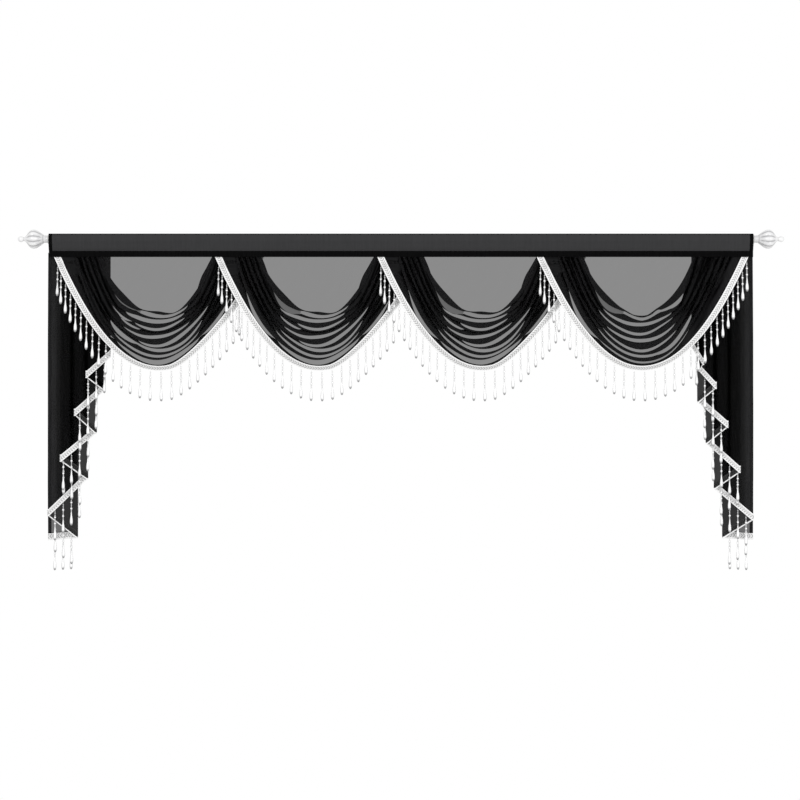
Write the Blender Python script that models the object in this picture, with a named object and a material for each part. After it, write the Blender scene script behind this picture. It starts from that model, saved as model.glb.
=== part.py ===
"""Waterfall valance of sheer voile on a curtain rod.

A pocket heading carries four pleated swags and two cascade tails. Every hem
has a woven braid with hanging bead strands, and the rod ends in fluted
finials. Metres, +X to the right, -Y to the viewer, +Z up. The origin is the
middle of the rod's axis.
"""

import math
from typing import NamedTuple

import bmesh
import bpy
import numpy as np
from mathutils import Matrix, Vector

# Driving dimensions
GAP = 0.0003
HALF_WIDTH = 1.0
CLOTH = 0.002
TAIL_CLOTH = 0.0012
ROD_RADIUS = 0.0125
ROD_HALF = 1.0026
ROD_SIDES = 24
ROUND_ANGLE = math.radians(40)

# Heading
SEAM_Z = -0.0335
BAND_BOTTOM = -0.0506
BAND_HALF_DEPTH = 0.0015
THROAT_Z = -0.0305
POCKET_WRAP = math.radians(28)
POCKET_ARC_STEPS = 8
HEADING_BAYS = 16
HEADING_WAVE = 0.0004
HEADING_WAVE_Z = (0.004, -0.006)

# Swags
TOP_Z = -0.038
STACK_FRONT_Y = 0.0028
STACK_STEP_Y = 0.0023
STACK_STEP_X = (0.09, 0.15)
HANG_START = 0.010
HANG_REACH = 0.026
LEFT_Y = -0.0140
RIGHT_Y = 0.0130
SIDE_X = 0.16
BELLY = 0.027
BELLY_HALF = 0.30
BELLY_POWER = 1.3
BELLY_REACH = 0.22
FOLD_DEPTH = 0.0086
FOLD_REACH = 0.030
FOLD_BEHIND = 0.35
UNEVEN_DROP = 0.0016
UNEVEN_TURN = 2.1
SWAG_COLUMNS = 11
TUCK_DROP = 0.0146
TUCK_POWER = 40.0
TUCK_SPREADS = (-0.22, -0.10)
TUCK_PLACES = (0.80, 0.93)
HEEL_DROP = 0.0210
SHOULDER_DROP = 0.0360
STEEPEST_SHARE = 0.45
WINDOW_DROPS = (0.085, 0.135)
WINDOW_POWER = 2.4
HEM_HALF = 0.283
HEM_DROP = 0.3225

# Braid and bead strands
BRAID_WIDTH = 0.0175
BRAID_HALF = 0.00075
BRAID_SEAT = 0.0012
BRAID_TILT = math.radians(45)
BRAID_TILT_REACH = 0.85
BRAID_TILT_POWER = 0.8
BRAID_SAMPLES = 401
TANGENT_STEP = 0.002
STRAND_PITCH = 0.0298
FIRST_STRAND = 0.0330
STRAND_FOOT = 0.001
STRAND_LEAN = 0.003
STRAND_SPLAY = 0.001
SPLAY_SLOPE = 0.3
STRAND_TIP = 0.088

# Tails
TAIL_TOP_Y = 0.0047
TAIL_TOP_PITCH = 0.0015
TAIL_HANG_Y = 0.0100
TAIL_HEEL_Z = -0.0526
TAIL_HANG_Z = -0.070
TAIL_SPREAD_Z = -0.280
TAIL_TURN_BACK = 0.0046
TAIL_TURN_FRONT = 0.0085
TAIL_UPPER_ROWS = (TOP_Z, TAIL_HEEL_Z, TAIL_HANG_Z, -0.175, TAIL_SPREAD_Z)
TAIL_LOWER_ROWS = (0.5, 1.0)
TAIL_WAVE = 0.0015
TAIL_WAVE_TURN = 2.3
TAIL_WAVE_START = 0.7
TAIL_BRAID_HEIGHT = 0.021
TAIL_SEAT = 0.0012
TAIL_STRAND_STEP = 0.0232
TAIL_STRAND_EDGE = 0.003
TAIL_LEAN_FRONT = 0.0034
TAIL_LEAN_BACK = -0.0012

# Finials
FINIAL_STEPS = 20
FLUTE_DEPTH = 0.09


class Wave(NamedTuple):
    """One wave of the heading's uneven front: radians a metre, start and share."""

    rate: float
    start: float
    share: float


HEADING_WAVES = (Wave(5.3, 0.8, 1.0), Wave(12.7, 0.0, 0.6))


class Swag(NamedTuple):
    """One swag: its centre, its window's half widths and how its right side hangs."""

    name: str
    centre: float
    window_left: float
    window_right: float
    right_y: float
    right_stack_y: float
    strand_share: float
    wave: float


# strand_share is how much of the hem, from its left end, has bead strands
SWAGS = (
    Swag("1", -0.6864, 0.158, 0.160, RIGHT_Y, STACK_STEP_Y, 0.83, 0.0),
    Swag("2", -0.2321, 0.169, 0.165, RIGHT_Y, STACK_STEP_Y, 0.83, 1.3),
    Swag("3", 0.2290, 0.166, 0.166, RIGHT_Y, STACK_STEP_Y, 0.83, 2.9),
    Swag("4", 0.6821, 0.167, 0.153, -0.0020, 0.0, 1.0, 4.1),
)


class Fold(NamedTuple):
    """One U-shaped fold of a swag: its lower edge, how far it laps and its shape."""

    drop: float
    lap: float
    spread: float
    power: float


# drop is from the swag's top to the fold's lower edge at its middle, and
# spread is 0 at the window's half width and 1 at the hem's
FOLDS = (
    Fold(0.1788, 0.0075, 0.000, 2.40),
    Fold(0.1927, 0.0048, 0.145, 2.28),
    Fold(0.2169, 0.0110, 0.282, 2.22),
    Fold(0.2362, 0.0105, 0.410, 2.17),
    Fold(0.2623, 0.0110, 0.538, 2.12),
    Fold(0.2765, 0.0055, 0.667, 2.08),
    Fold(0.2919, 0.0065, 0.782, 2.04),
    Fold(0.3064, 0.0070, 0.889, 2.02),
)


class Level(NamedTuple):
    """One row of a swag: how low its middle hangs, its spread, shape and relief."""

    drop: float
    spread: float
    power: float
    relief: float


HEM = Level(HEM_DROP, 1.0, 2.0, 0.3)


class Ply(NamedTuple):
    """One upright ply of a tail: how far out it ends and how low its hem is there."""

    reach: float
    hem_z: float


# reach is the distance from the valance's middle, front ply first
LEFT_TAIL_START = (0.8268, -0.3346)
LEFT_TAIL = (
    Ply(0.8921, -0.3943),
    Ply(0.8372, -0.4312),
    Ply(0.9247, -0.5022),
    Ply(0.8608, -0.5534),
    Ply(0.9645, -0.6330),
    Ply(0.8852, -0.6841),
    Ply(1.0000, -0.7892),
    Ply(0.9137, -0.8517),
    Ply(0.9990, -0.8574),
)
RIGHT_TAIL_START = (0.8205, -0.3062)
RIGHT_TAIL = (
    Ply(0.8602, -0.3574),
    Ply(0.8436, -0.3759),
    Ply(0.8957, -0.4256),
    Ply(0.8415, -0.4653),
    Ply(0.9287, -0.5364),
    Ply(0.8650, -0.5830),
    Ply(0.9631, -0.6653),
    Ply(0.8878, -0.7125),
    Ply(1.0000, -0.8020),
    Ply(0.9113, -0.8526),
    Ply(0.9990, -0.8574),
)


class Ring(NamedTuple):
    """One ring of a bead strand: its drop below the braid and its half width."""

    drop: float
    half: float


STRAND = (
    Ring(0.0200, 0.0034),
    Ring(0.0400, 0.0034),
    Ring(0.0495, 0.0011),
    Ring(0.0750, 0.0045),
)


class Turn(NamedTuple):
    """A point of a turned profile: distance from the rod's end and radius."""

    reach: float
    radius: float
    fluted: bool


FINIAL = (
    Turn(GAP, 0.0108, False),
    Turn(0.0125, 0.0108, False),
    Turn(0.0150, 0.0180, True),
    Turn(0.0245, 0.0250, True),
    Turn(0.0375, 0.0277, True),
    Turn(0.0500, 0.0215, True),
    Turn(0.0625, 0.0080, True),
    Turn(0.0680, 0.0050, False),
    Turn(0.0735, 0.0078, False),
    Turn(0.0805, 0.0068, False),
    Turn(0.0860, 0.0, False),
)


def smooth(value, low, high):
    """Rises smoothly from 0 at low to 1 at high."""
    share = np.clip((value - low) / (high - low), 0.0, 1.0)
    return share * share * (3.0 - 2.0 * share)


def clear_scene():
    """Removes whatever the scene holds."""
    for item in list(bpy.data.objects):
        bpy.data.objects.remove(item, do_unlink=True)


def principled(name, colour, roughness, metallic=0.0):
    """Makes a plain material of one colour."""
    material = bpy.data.materials.new(name)
    material.use_nodes = True
    shader = material.node_tree.nodes["Principled BSDF"]
    shader.inputs["Base Color"].default_value = (*colour, 1.0)
    shader.inputs["Roughness"].default_value = roughness
    shader.inputs["Metallic"].default_value = metallic
    return material


def add_object(name, bm, material):
    """Turns a bmesh into a named object with one material."""
    bmesh.ops.recalc_face_normals(bm, faces=bm.faces)
    mesh = bpy.data.meshes.new(name)
    bm.to_mesh(mesh)
    bm.free()
    mesh.materials.append(material)
    item = bpy.data.objects.new(name, mesh)
    bpy.context.scene.collection.objects.link(item)
    return item


def add_grid(name, points, thickness, material):
    """Makes a cloth sheet from rows of points and gives it its thickness."""
    bm = bmesh.new()
    rows = [[bm.verts.new(point) for point in row] for row in points]
    for upper, lower in zip(rows, rows[1:]):
        for k in range(len(upper) - 1):
            bm.faces.new((upper[k], lower[k], lower[k + 1], upper[k + 1]))
    bmesh.ops.triangulate(bm, faces=bm.faces, quad_method="SHORT_EDGE")
    item = add_object(name, bm, material)
    solidify = item.modifiers.new("Thickness", "SOLIDIFY")
    solidify.thickness = thickness
    solidify.offset = 0.0
    solidify.use_rim = True
    return item


def build_rod(material):
    """Makes the plain round rod along X."""
    bm = bmesh.new()
    bmesh.ops.create_cone(
        bm,
        cap_ends=True,
        segments=ROD_SIDES,
        radius1=ROD_RADIUS,
        radius2=ROD_RADIUS,
        depth=2.0 * ROD_HALF,
        matrix=Matrix.Rotation(math.radians(90), 4, "Y"),
    )
    rod = add_object("rod", bm, material)
    rod.data.shade_smooth()
    rod.data.set_sharp_from_angle(angle=ROUND_ANGLE)
    return rod


def build_finial(name, side, material):
    """Spins a fluted bulb with a tip ball, on the rod's left (-1) or right (+1) end."""
    bm = bmesh.new()
    spine = [bm.verts.new((FINIAL[0].reach, 0.0, 0.0))]
    spine += [bm.verts.new((turn.reach, 0.0, turn.radius)) for turn in FINIAL]
    edges = [bm.edges.new(pair) for pair in zip(spine, spine[1:])]
    bmesh.ops.spin(
        bm,
        geom=spine + edges,
        cent=(0.0, 0.0, 0.0),
        axis=(1.0, 0.0, 0.0),
        angle=2.0 * math.pi,
        steps=FINIAL_STEPS,
        use_merge=True,
    )
    bmesh.ops.remove_doubles(bm, verts=bm.verts, dist=1e-5)
    fluted = [turn.reach for turn in FINIAL if turn.fluted]
    for vert in bm.verts:
        if min(abs(vert.co.x - reach) for reach in fluted) < 1e-5:
            angle = math.atan2(vert.co.y, vert.co.z)
            groove = 0.5 + 0.5 * math.cos(0.5 * FINIAL_STEPS * angle)
            vert.co.y *= 1.0 - FLUTE_DEPTH * groove
            vert.co.z *= 1.0 - FLUTE_DEPTH * groove
        vert.co.x = side * (ROD_HALF + vert.co.x)
    return add_object(name, bm, material)


def pocket_arc(offset):
    """Arc over the rod, from low at the front to low at the back, off the inner wall."""
    half_step = (0.5 * math.pi + POCKET_WRAP) / POCKET_ARC_STEPS
    radius = (ROD_RADIUS + GAP) / math.cos(half_step) + offset
    angles = np.linspace(-POCKET_WRAP, math.pi + POCKET_WRAP, POCKET_ARC_STEPS + 1)
    return [(-radius * math.cos(a), radius * math.sin(a)) for a in angles]


def build_heading(material):
    """Extrudes the pocket and its double band along the rod, a little uneven."""
    band = BAND_HALF_DEPTH
    front_band = [(-band, BAND_BOTTOM), (-band, SEAM_Z)]
    back_band = [(band, SEAM_Z), (band, BAND_BOTTOM)]
    outer = front_band + pocket_arc(CLOTH) + back_band
    inner = pocket_arc(0.0) + [(0.0, THROAT_Z)]
    bm = bmesh.new()
    loops = []
    for outline in (outer, inner):
        loop = [bm.verts.new((-HALF_WIDTH, y, z)) for y, z in outline]
        loops.append([bm.edges.new((a, b)) for a, b in zip(loop, loop[1:] + loop[:1])])
    cap = bmesh.ops.triangle_fill(bm, use_beauty=True, edges=loops[0] + loops[1])
    faces = [item for item in cap["geom"] if isinstance(item, bmesh.types.BMFace)]
    moved = bmesh.ops.extrude_face_region(bm, geom=faces)["geom"]
    verts = [item for item in moved if isinstance(item, bmesh.types.BMVert)]
    bmesh.ops.translate(bm, vec=(2.0 * HALF_WIDTH, 0.0, 0.0), verts=verts)
    long_edges = [edge for edge in bm.edges if edge.calc_length() > HALF_WIDTH]
    bmesh.ops.subdivide_edges(bm, edges=long_edges, cuts=HEADING_BAYS - 1)
    for vert in bm.verts:
        if vert.co.y < 0.0 and vert.co.z > THROAT_Z:
            low = float(smooth(vert.co.z, *HEADING_WAVE_Z))
            for wave in HEADING_WAVES:
                sway = 1.0 + math.sin(wave.rate * vert.co.x + wave.start)
                vert.co.y -= HEADING_WAVE * low * wave.share * sway
    return add_object("heading", bm, material)


def swag_levels(swag):
    """Rows of a swag: behind the band, down the window, over the folds, the hem."""
    tucks = zip((0.0, TUCK_DROP), TUCK_SPREADS)
    levels = [Level(drop, spread, TUCK_POWER, 0.0) for drop, spread in tucks]
    for drop in WINDOW_DROPS:
        spread = TUCK_SPREADS[1] * (1.0 - drop / FOLDS[0].drop)
        levels.append(Level(drop, spread, WINDOW_POWER, 0.0))
    spreads = [fold.spread for fold in FOLDS] + [HEM.spread]
    for k, fold in enumerate(FOLDS):
        drop = fold.drop + UNEVEN_DROP * math.sin(UNEVEN_TURN * k + swag.wave)
        behind = fold.spread + FOLD_BEHIND * (spreads[k + 1] - fold.spread)
        levels.append(Level(drop, fold.spread, fold.power, -1.0))
        levels.append(Level(drop - fold.lap, behind, fold.power, 1.0))
    return levels + [HEM]


def swag_point(swag, level, along):
    """Point of a swag at along (-1 left end, 0 lowest, 1 right end) of one row."""
    window = swag.window_left if along < 0.0 else swag.window_right
    x = along * (window + level.spread * (HEM_HALF - window))
    z = TOP_Z - level.drop * (1.0 - abs(along) ** level.power)
    below = max(0.0, BAND_BOTTOM - HANG_START - z)
    stack = STACK_FRONT_Y + swag.right_stack_y * float(smooth(x, *STACK_STEP_X))
    hung = LEFT_Y + (swag.right_y - LEFT_Y) * float(smooth(x, -SIDE_X, SIDE_X))
    hang = float(smooth(below, 0.0, HANG_REACH))
    bulge = max(0.0, 1.0 - (x / BELLY_HALF) ** 2) ** BELLY_POWER
    belly = BELLY * bulge * float(smooth(below, 0.0, BELLY_REACH))
    fold = 0.5 * FOLD_DEPTH * level.relief * float(smooth(below, 0.0, FOLD_REACH))
    return Vector((swag.centre + x, stack + (hung - stack) * hang - belly + fold, z))


def place_at_drop(level, fall):
    """Place along a row where it hangs a given way below the swag's top."""
    share = min(fall / level.drop, STEEPEST_SHARE)
    return (1.0 - share) ** (1.0 / level.power)


def column_places(level):
    """Places of a row's columns: tucked behind the band, then even along the curve."""
    even = np.linspace(-1.0, 1.0, SWAG_COLUMNS + 1)
    shoulder, tuck = TUCK_PLACES
    if level.drop > TUCK_DROP:
        shoulder = place_at_drop(level, SHOULDER_DROP)
        tuck = max(place_at_drop(level, HEEL_DROP), 0.5 + 0.5 * shoulder)
    inner = shoulder * (0.5 * even + 0.5 * np.sin(0.5 * math.pi * even))
    return np.concatenate(([-1.0, -tuck], inner, [tuck, 1.0]))


def build_swag(swag, material):
    """Makes one swag as a sheet of lapping U-shaped folds under a flat window."""
    points = []
    for level in swag_levels(swag):
        points.append([swag_point(swag, level, place) for place in column_places(level)])
    return add_grid("swag_" + swag.name, points, CLOTH, material)


class Station(NamedTuple):
    """A cross-section of a braid: its edges, half thickness and its strands' lean."""

    upper: Vector
    lower: Vector
    out: Vector
    lean: float


def hem_station(swag, along):
    """The braid's cross-section where it edges a swag's hem."""
    here = swag_point(swag, HEM, along)
    before = swag_point(swag, HEM, max(-1.0, along - TANGENT_STEP))
    after = swag_point(swag, HEM, min(1.0, along + TANGENT_STEP))
    tangent = (after - before).normalized()
    back = Vector((0.0, 1.0, 0.0))
    down = back.cross(tangent).normalized()
    middle = max(0.0, 1.0 - abs(along) / BRAID_TILT_REACH)
    tilt = BRAID_TILT * middle**BRAID_TILT_POWER
    fall = (down * math.cos(tilt) + back * math.sin(tilt)).normalized()
    out = fall.cross(tangent).normalized() * BRAID_HALF
    return Station(here + fall * (GAP + BRAID_SEAT), here + fall * BRAID_WIDTH, out, STRAND_LEAN)


def swag_stations(swag):
    """Cross-sections of a swag's braid from end to end, with the strands' feet."""
    fine = np.linspace(-1.0, 1.0, BRAID_SAMPLES)
    path = np.array([hem_station(swag, place).lower for place in fine])
    steps = np.linalg.norm(np.diff(path, axis=0), axis=1)
    length = np.concatenate(([0.0], np.cumsum(steps)))
    total = float(length[-1])
    stop = min(swag.strand_share * total, total - FIRST_STRAND)
    tuck = place_at_drop(HEM, HEEL_DROP)
    stations = [hem_station(swag, -1.0), hem_station(swag, -tuck)]
    feet = []
    for middle in np.arange(FIRST_STRAND, total - STRAND_PITCH, STRAND_PITCH):
        places = (middle,)
        if middle < stop:
            feet.append(len(stations))
            places = (middle - STRAND_FOOT, middle + STRAND_FOOT)
        for place in places:
            stations.append(hem_station(swag, float(np.interp(place, length, fine))))
    stations += [hem_station(swag, tuck), hem_station(swag, 1.0)]
    return stations, feet


def tail_plan(start, plies):
    """Zigzag of a tail seen from above: (reach, hem height, turn) for each corner."""
    corners = [(start[0], start[1], 0.0)]
    depth = 0.0
    for k, ply in enumerate(plies):
        corners.append((ply.reach, ply.hem_z, depth))
        turn = TAIL_TURN_BACK if k % 2 == 0 else TAIL_TURN_FRONT
        if k + 1 < len(plies):
            depth += turn
            corners.append((ply.reach, ply.hem_z, depth))
    return corners


def tail_y(depth, rank, z):
    """How far back a ply hangs: pressed together at the top, spread lower down."""
    spread = (TAIL_HANG_Z - z) / (TAIL_HANG_Z - TAIL_SPREAD_Z)
    spread = min(max(spread, 0.0), 1.0)
    hang = (TAIL_HEEL_Z - z) / (TAIL_HEEL_Z - TAIL_HANG_Z)
    hang = min(max(hang, 0.0), 1.0)
    packed = TAIL_TOP_PITCH * rank
    front = TAIL_TOP_Y + (TAIL_HANG_Y - TAIL_TOP_Y) * hang
    return front + packed + (depth - packed) * spread


def build_tail(name, side, start, plies, material):
    """Makes a cascade tail as upright zigzag plies with a stepped slanting hem."""
    corners = tail_plan(start, plies)
    rows = []
    for upper in TAIL_UPPER_ROWS:
        rows.append([(reach, upper, depth) for reach, _, depth in corners])
    for share in TAIL_LOWER_ROWS:
        row = []
        for k, (reach, hem_z, depth) in enumerate(corners):
            foot = hem_z + TAIL_BRAID_HEIGHT + TAIL_SEAT
            turn = TAIL_WAVE_TURN * ((k + 1) // 2) + TAIL_WAVE_START
            sway = TAIL_WAVE * math.sin(turn) * (1.0 - share)
            z = TAIL_SPREAD_Z + share * (foot - TAIL_SPREAD_Z)
            row.append((min(reach + sway, HALF_WIDTH), z, depth))
        rows.append(row)
    points = []
    for row in rows:
        hung = []
        for k, (reach, z, depth) in enumerate(row):
            hung.append((side * reach, tail_y(depth, k // 2, z), z))
        points.append(hung)
    return add_grid(name, points, TAIL_CLOTH, material)


def strand_reaches(start, stop, k):
    """Reaches of one ply's strands, half a step off those of the ply before."""
    low, high = sorted((start, stop))
    shift = 0.5 * TAIL_STRAND_STEP * (k % 2)
    first = math.ceil((low + TAIL_STRAND_EDGE - shift) / TAIL_STRAND_STEP)
    last = math.floor((high - TAIL_STRAND_EDGE - shift) / TAIL_STRAND_STEP)
    reaches = [shift + i * TAIL_STRAND_STEP for i in range(first, last + 1)]
    return reaches if stop > start else reaches[::-1]


def tail_stations(side, start, plies):
    """Cross-sections of a tail's braid, ply after ply, with the strands' feet."""
    corners = tail_plan(start, plies)
    stations = []
    feet = []
    for k, ply in enumerate(plies):
        a = corners[2 * k]
        b = corners[2 * k + 1]
        length = math.hypot(b[0] - a[0], b[1] - a[1])
        foot = STRAND_FOOT / length
        places = [0.0]
        for reach in strand_reaches(a[0], b[0], k):
            middle = (reach - a[0]) / (b[0] - a[0])
            feet.append(len(stations) + len(places))
            places += [middle - foot, middle + foot]
        places.append(1.0)
        for place in places:
            reach = a[0] + (b[0] - a[0]) * place
            z = a[1] + (b[1] - a[1]) * place
            y = tail_y(a[2], k, z + TAIL_BRAID_HEIGHT)
            loose_end = (k, place) in ((0, 0.0), (len(plies) - 1, 1.0))
            out_x = BRAID_HALF if place in (0.0, 1.0) and not loose_end else 0.0
            front = -1.0 if k % 2 == 0 else 1.0
            lean = TAIL_LEAN_FRONT if k % 2 == 0 else TAIL_LEAN_BACK
            out = Vector((side * out_x, front * BRAID_HALF, 0.0))
            lower = Vector((side * reach, y, z))
            upper = lower + Vector((0.0, 0.0, TAIL_BRAID_HEIGHT))
            stations.append(Station(upper, lower, out, lean))
    return stations, feet


def hang_strand(bm, foot, lean):
    """Draws a bead strand down from the braid's lower face, ring by ring."""
    root = foot.calc_center_median()
    if abs(foot.normal.x) > SPLAY_SLOPE:
        root.x += math.copysign(STRAND_SPLAY, foot.normal.x)
    face = foot
    for ring in STRAND:
        centre = face.calc_center_median()
        face = bmesh.ops.extrude_discrete_faces(bm, faces=[face])["faces"][0]
        target = root + Vector((0.0, -lean, -ring.drop))
        for vert in face.verts:
            left = -1.0 if vert.co.x < centre.x else 1.0
            near = -1.0 if vert.co.y < centre.y else 1.0
            vert.co = target + Vector((left * ring.half, near * ring.half, 0.0))
    face.normal_update()
    tip = bmesh.ops.poke(bm, faces=[face])["verts"][0]
    tip.co = root + Vector((0.0, -lean, -STRAND_TIP))


def build_trim(name, stations, feet, material):
    """Makes a braid through its cross-sections and hangs its bead strands."""
    bm = bmesh.new()
    rings = []
    for station in stations:
        corners = (
            station.upper + station.out,
            station.upper - station.out,
            station.lower - station.out,
            station.lower + station.out,
        )
        rings.append([bm.verts.new(corner) for corner in corners])
    soles = []
    for here, there in zip(rings, rings[1:]):
        for k in range(4):
            following = (k + 1) % 4
            face = bm.faces.new((here[k], here[following], there[following], there[k]))
            if k == 2:
                soles.append(face)
    bm.faces.new(rings[0])
    bm.faces.new(rings[-1])
    bmesh.ops.recalc_face_normals(bm, faces=bm.faces)
    bm.normal_update()
    for foot in feet:
        hang_strand(bm, soles[foot], stations[foot].lean)
    return add_object(name, bm, material)


def main():
    """Builds the valance from the rod forward."""
    clear_scene()
    voile = (0.006, 0.006, 0.007)
    white = (0.86, 0.86, 0.85)
    build_rod(principled("Rod white", (0.80, 0.80, 0.79), 0.4))
    for name, side in (("finial_left", -1), ("finial_right", 1)):
        build_finial(name, side, principled(name + " pearl", white, 0.25))
    build_heading(principled("Heading voile", voile, 0.8))
    for swag in SWAGS:
        build_swag(swag, principled("Swag voile " + swag.name, voile, 0.8))
        stations, feet = swag_stations(swag)
        braid = principled("Braid " + swag.name, white, 0.5)
        build_trim("trim_swag_" + swag.name, stations, feet, braid)
    tails = (
        ("left", -1, LEFT_TAIL_START, LEFT_TAIL),
        ("right", 1, RIGHT_TAIL_START, RIGHT_TAIL),
    )
    for name, side, start, plies in tails:
        cloth = principled("Tail voile " + name, voile, 0.8)
        build_tail("tail_" + name, side, start, plies, cloth)
        stations, feet = tail_stations(side, start, plies)
        braid = principled("Tail braid " + name, white, 0.5)
        build_trim("trim_tail_" + name, stations, feet, braid)


main()
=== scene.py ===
"""Looks of a sheer waterfall valance on a curtain rod.

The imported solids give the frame. Each swag, tail, heading, braid, row of bead
strands and finial is a fine numpy surface that stands where its solid does.
Metres, +X to the right, -Y to the viewer, +Z up.
"""

import logging
import math
from dataclasses import dataclass, field
from enum import Enum
from typing import NamedTuple

import bmesh
import bpy
import numpy as np
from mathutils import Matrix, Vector


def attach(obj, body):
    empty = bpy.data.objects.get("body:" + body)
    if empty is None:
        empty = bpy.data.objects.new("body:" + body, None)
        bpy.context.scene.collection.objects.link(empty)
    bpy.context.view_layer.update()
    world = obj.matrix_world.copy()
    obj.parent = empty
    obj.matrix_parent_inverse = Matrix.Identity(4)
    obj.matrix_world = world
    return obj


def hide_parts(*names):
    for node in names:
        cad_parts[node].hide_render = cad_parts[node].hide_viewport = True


LOG = logging.getLogger("valance")
WELD_REACH = 1e-6
SHORTEST_EDGE = 1e-7
WHOLE_TURN = 2.0 * math.pi
RIB_PITCH = 0.0075
RIB_SLANT = 2.4

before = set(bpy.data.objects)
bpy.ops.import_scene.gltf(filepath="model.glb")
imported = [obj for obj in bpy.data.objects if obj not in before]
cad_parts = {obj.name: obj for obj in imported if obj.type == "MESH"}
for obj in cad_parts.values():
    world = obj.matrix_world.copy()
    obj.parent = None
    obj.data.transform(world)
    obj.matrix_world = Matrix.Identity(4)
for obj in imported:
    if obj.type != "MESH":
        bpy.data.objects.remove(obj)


class Side(Enum):
    """An end of the rod: its name in the record and its direction along X."""

    LEFT = ("left", -1)
    RIGHT = ("right", 1)

    @property
    def label(self) -> str:
        """The word that the record's nodes end in."""
        return self.value[0]

    @property
    def sign(self) -> int:
        """-1 to the left and 1 to the right."""
        return self.value[1]


def smooth(value: np.ndarray | float, low: float, high: float) -> np.ndarray | float:
    """Rises smoothly from 0 at low to 1 at high.

    Args:
        value: what is measured.
        low: where the rise starts.
        high: where it ends.

    Returns:
        The cubic 3t^2 - 2t^3 of the share t of the way from low to high.
    """
    share = np.clip((value - low) / (high - low), 0.0, 1.0)
    return share * share * (3.0 - 2.0 * share)


def curve(at: np.ndarray, knots: tuple[float, ...], values: tuple[float, ...]) -> np.ndarray:
    """Draws a smooth line through values at knots.

    Between two knots it is the cubic whose slope at each knot is that of the
    line through its neighbours.

    Args:
        at: places along the line.
        knots: places of the values, rising.
        values: the values.

    Returns:
        The line's value at each place.
    """
    knots, values = np.array(knots), np.array(values)
    slopes = np.gradient(values, knots)
    k = np.clip(np.searchsorted(knots, at) - 1, 0, len(knots) - 2)
    step = knots[k + 1] - knots[k]
    t = np.clip((at - knots[k]) / step, 0.0, 1.0)
    first = (1.0 + 2.0 * t) * (1.0 - t) ** 2 * values[k] + t * (1.0 - t) ** 2 * step * slopes[k]
    second = t * t * (3.0 - 2.0 * t) * values[k + 1] + t * t * (t - 1.0) * step * slopes[k + 1]
    return first + second


def unit(vectors: np.ndarray) -> np.ndarray:
    """Scales vectors in the last axis to length 1."""
    length = np.linalg.norm(vectors, axis=-1, keepdims=True)
    return vectors / np.maximum(length, 1e-12)


def run_length(points: np.ndarray, axis: int = 0) -> np.ndarray:
    """Adds up the distance along lines of points.

    Args:
        points: points in the last axis.
        axis: the axis that a line runs along.

    Returns:
        The distance of each point from the start of its line.
    """
    steps = np.linalg.norm(np.diff(points, axis=axis), axis=-1)
    start = np.zeros_like(np.take(steps, [0], axis=axis))
    return np.concatenate((start, np.cumsum(steps, axis=axis)), axis=axis)


def grid_faces(rows: int, columns: int, ring: bool = False) -> np.ndarray:
    """Quads of a grid of points, facing -Y where rows go down and columns go right.

    Args:
        rows: number of rows.
        columns: number of columns.
        ring: whether the last column joins the first.

    Returns:
        An array of four point numbers a quad.
    """
    row, column = np.meshgrid(
        np.arange(rows - 1), np.arange(columns if ring else columns - 1), indexing="ij"
    )
    after = (column + 1) % columns
    quads = np.stack(
        (
            row * columns + column,
            (row + 1) * columns + column,
            (row + 1) * columns + after,
            row * columns + after,
        ),
        axis=-1,
    )
    return quads.reshape(-1, 4)


def tone(level: float, tint: float = 0.0) -> tuple[float, float, float]:
    """A grey of a level, its blue raised by a tint."""
    return (level, level, level + tint)


@dataclass
class Surface:
    """A mesh being made.

    Quads number its points. Flat is each point's place on the flat pattern, grey
    its share of the darker tone, and slots each quad's material. A welded surface
    has its doubled points merged and its faces turned outwards.
    """

    points: np.ndarray
    quads: np.ndarray
    flat: np.ndarray
    grey: np.ndarray | None = None
    slots: np.ndarray | None = None
    weld: bool = False

    def add(self, name: str, finishes: list[bpy.types.Material]) -> bpy.types.Object:
        """Puts the surface in the scene as a smooth-shaded piece.

        Args:
            name: the piece's name.
            finishes: its materials, numbered by slots.

        Returns:
            The new object, at the origin with its place in its mesh.
        """
        mesh = bpy.data.meshes.new(name)
        points = self.points.reshape(-1, 3).astype(np.float32)
        corners = self.quads.astype(np.int32).ravel()
        mesh.vertices.add(len(points))
        mesh.vertices.foreach_set("co", points.ravel())
        mesh.loops.add(len(corners))
        mesh.polygons.add(len(self.quads))
        mesh.polygons.foreach_set("loop_start", np.arange(0, len(corners), 4, dtype=np.int32))
        mesh.polygons.foreach_set("vertices", corners)
        flat = self.flat.reshape(-1, 2).astype(np.float32)[corners]
        mesh.uv_layers.new(name="Flat").data.foreach_set("uv", flat.ravel())
        if self.grey is not None:
            layer = mesh.attributes.new("grey", "FLOAT", "POINT")
            layer.data.foreach_set("value", self.grey.ravel().astype(np.float32))
        if self.slots is not None:
            mesh.polygons.foreach_set("material_index", self.slots.ravel().astype(np.int32))
        mesh.update(calc_edges=True)
        for finish in finishes:
            mesh.materials.append(finish)
        if self.weld:
            bm = bmesh.new()
            bm.from_mesh(mesh)
            bmesh.ops.remove_doubles(bm, verts=bm.verts, dist=WELD_REACH)
            bmesh.ops.dissolve_degenerate(bm, edges=bm.edges, dist=SHORTEST_EDGE)
            bmesh.ops.recalc_face_normals(bm, faces=bm.faces)
            bm.to_mesh(mesh)
            bm.free()
        mesh.validate()
        mesh.shade_smooth()
        piece = bpy.data.objects.new(name, mesh)
        bpy.context.scene.collection.objects.link(piece)
        LOG.info("%s: %d faces", name, len(mesh.polygons))
        return piece


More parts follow.
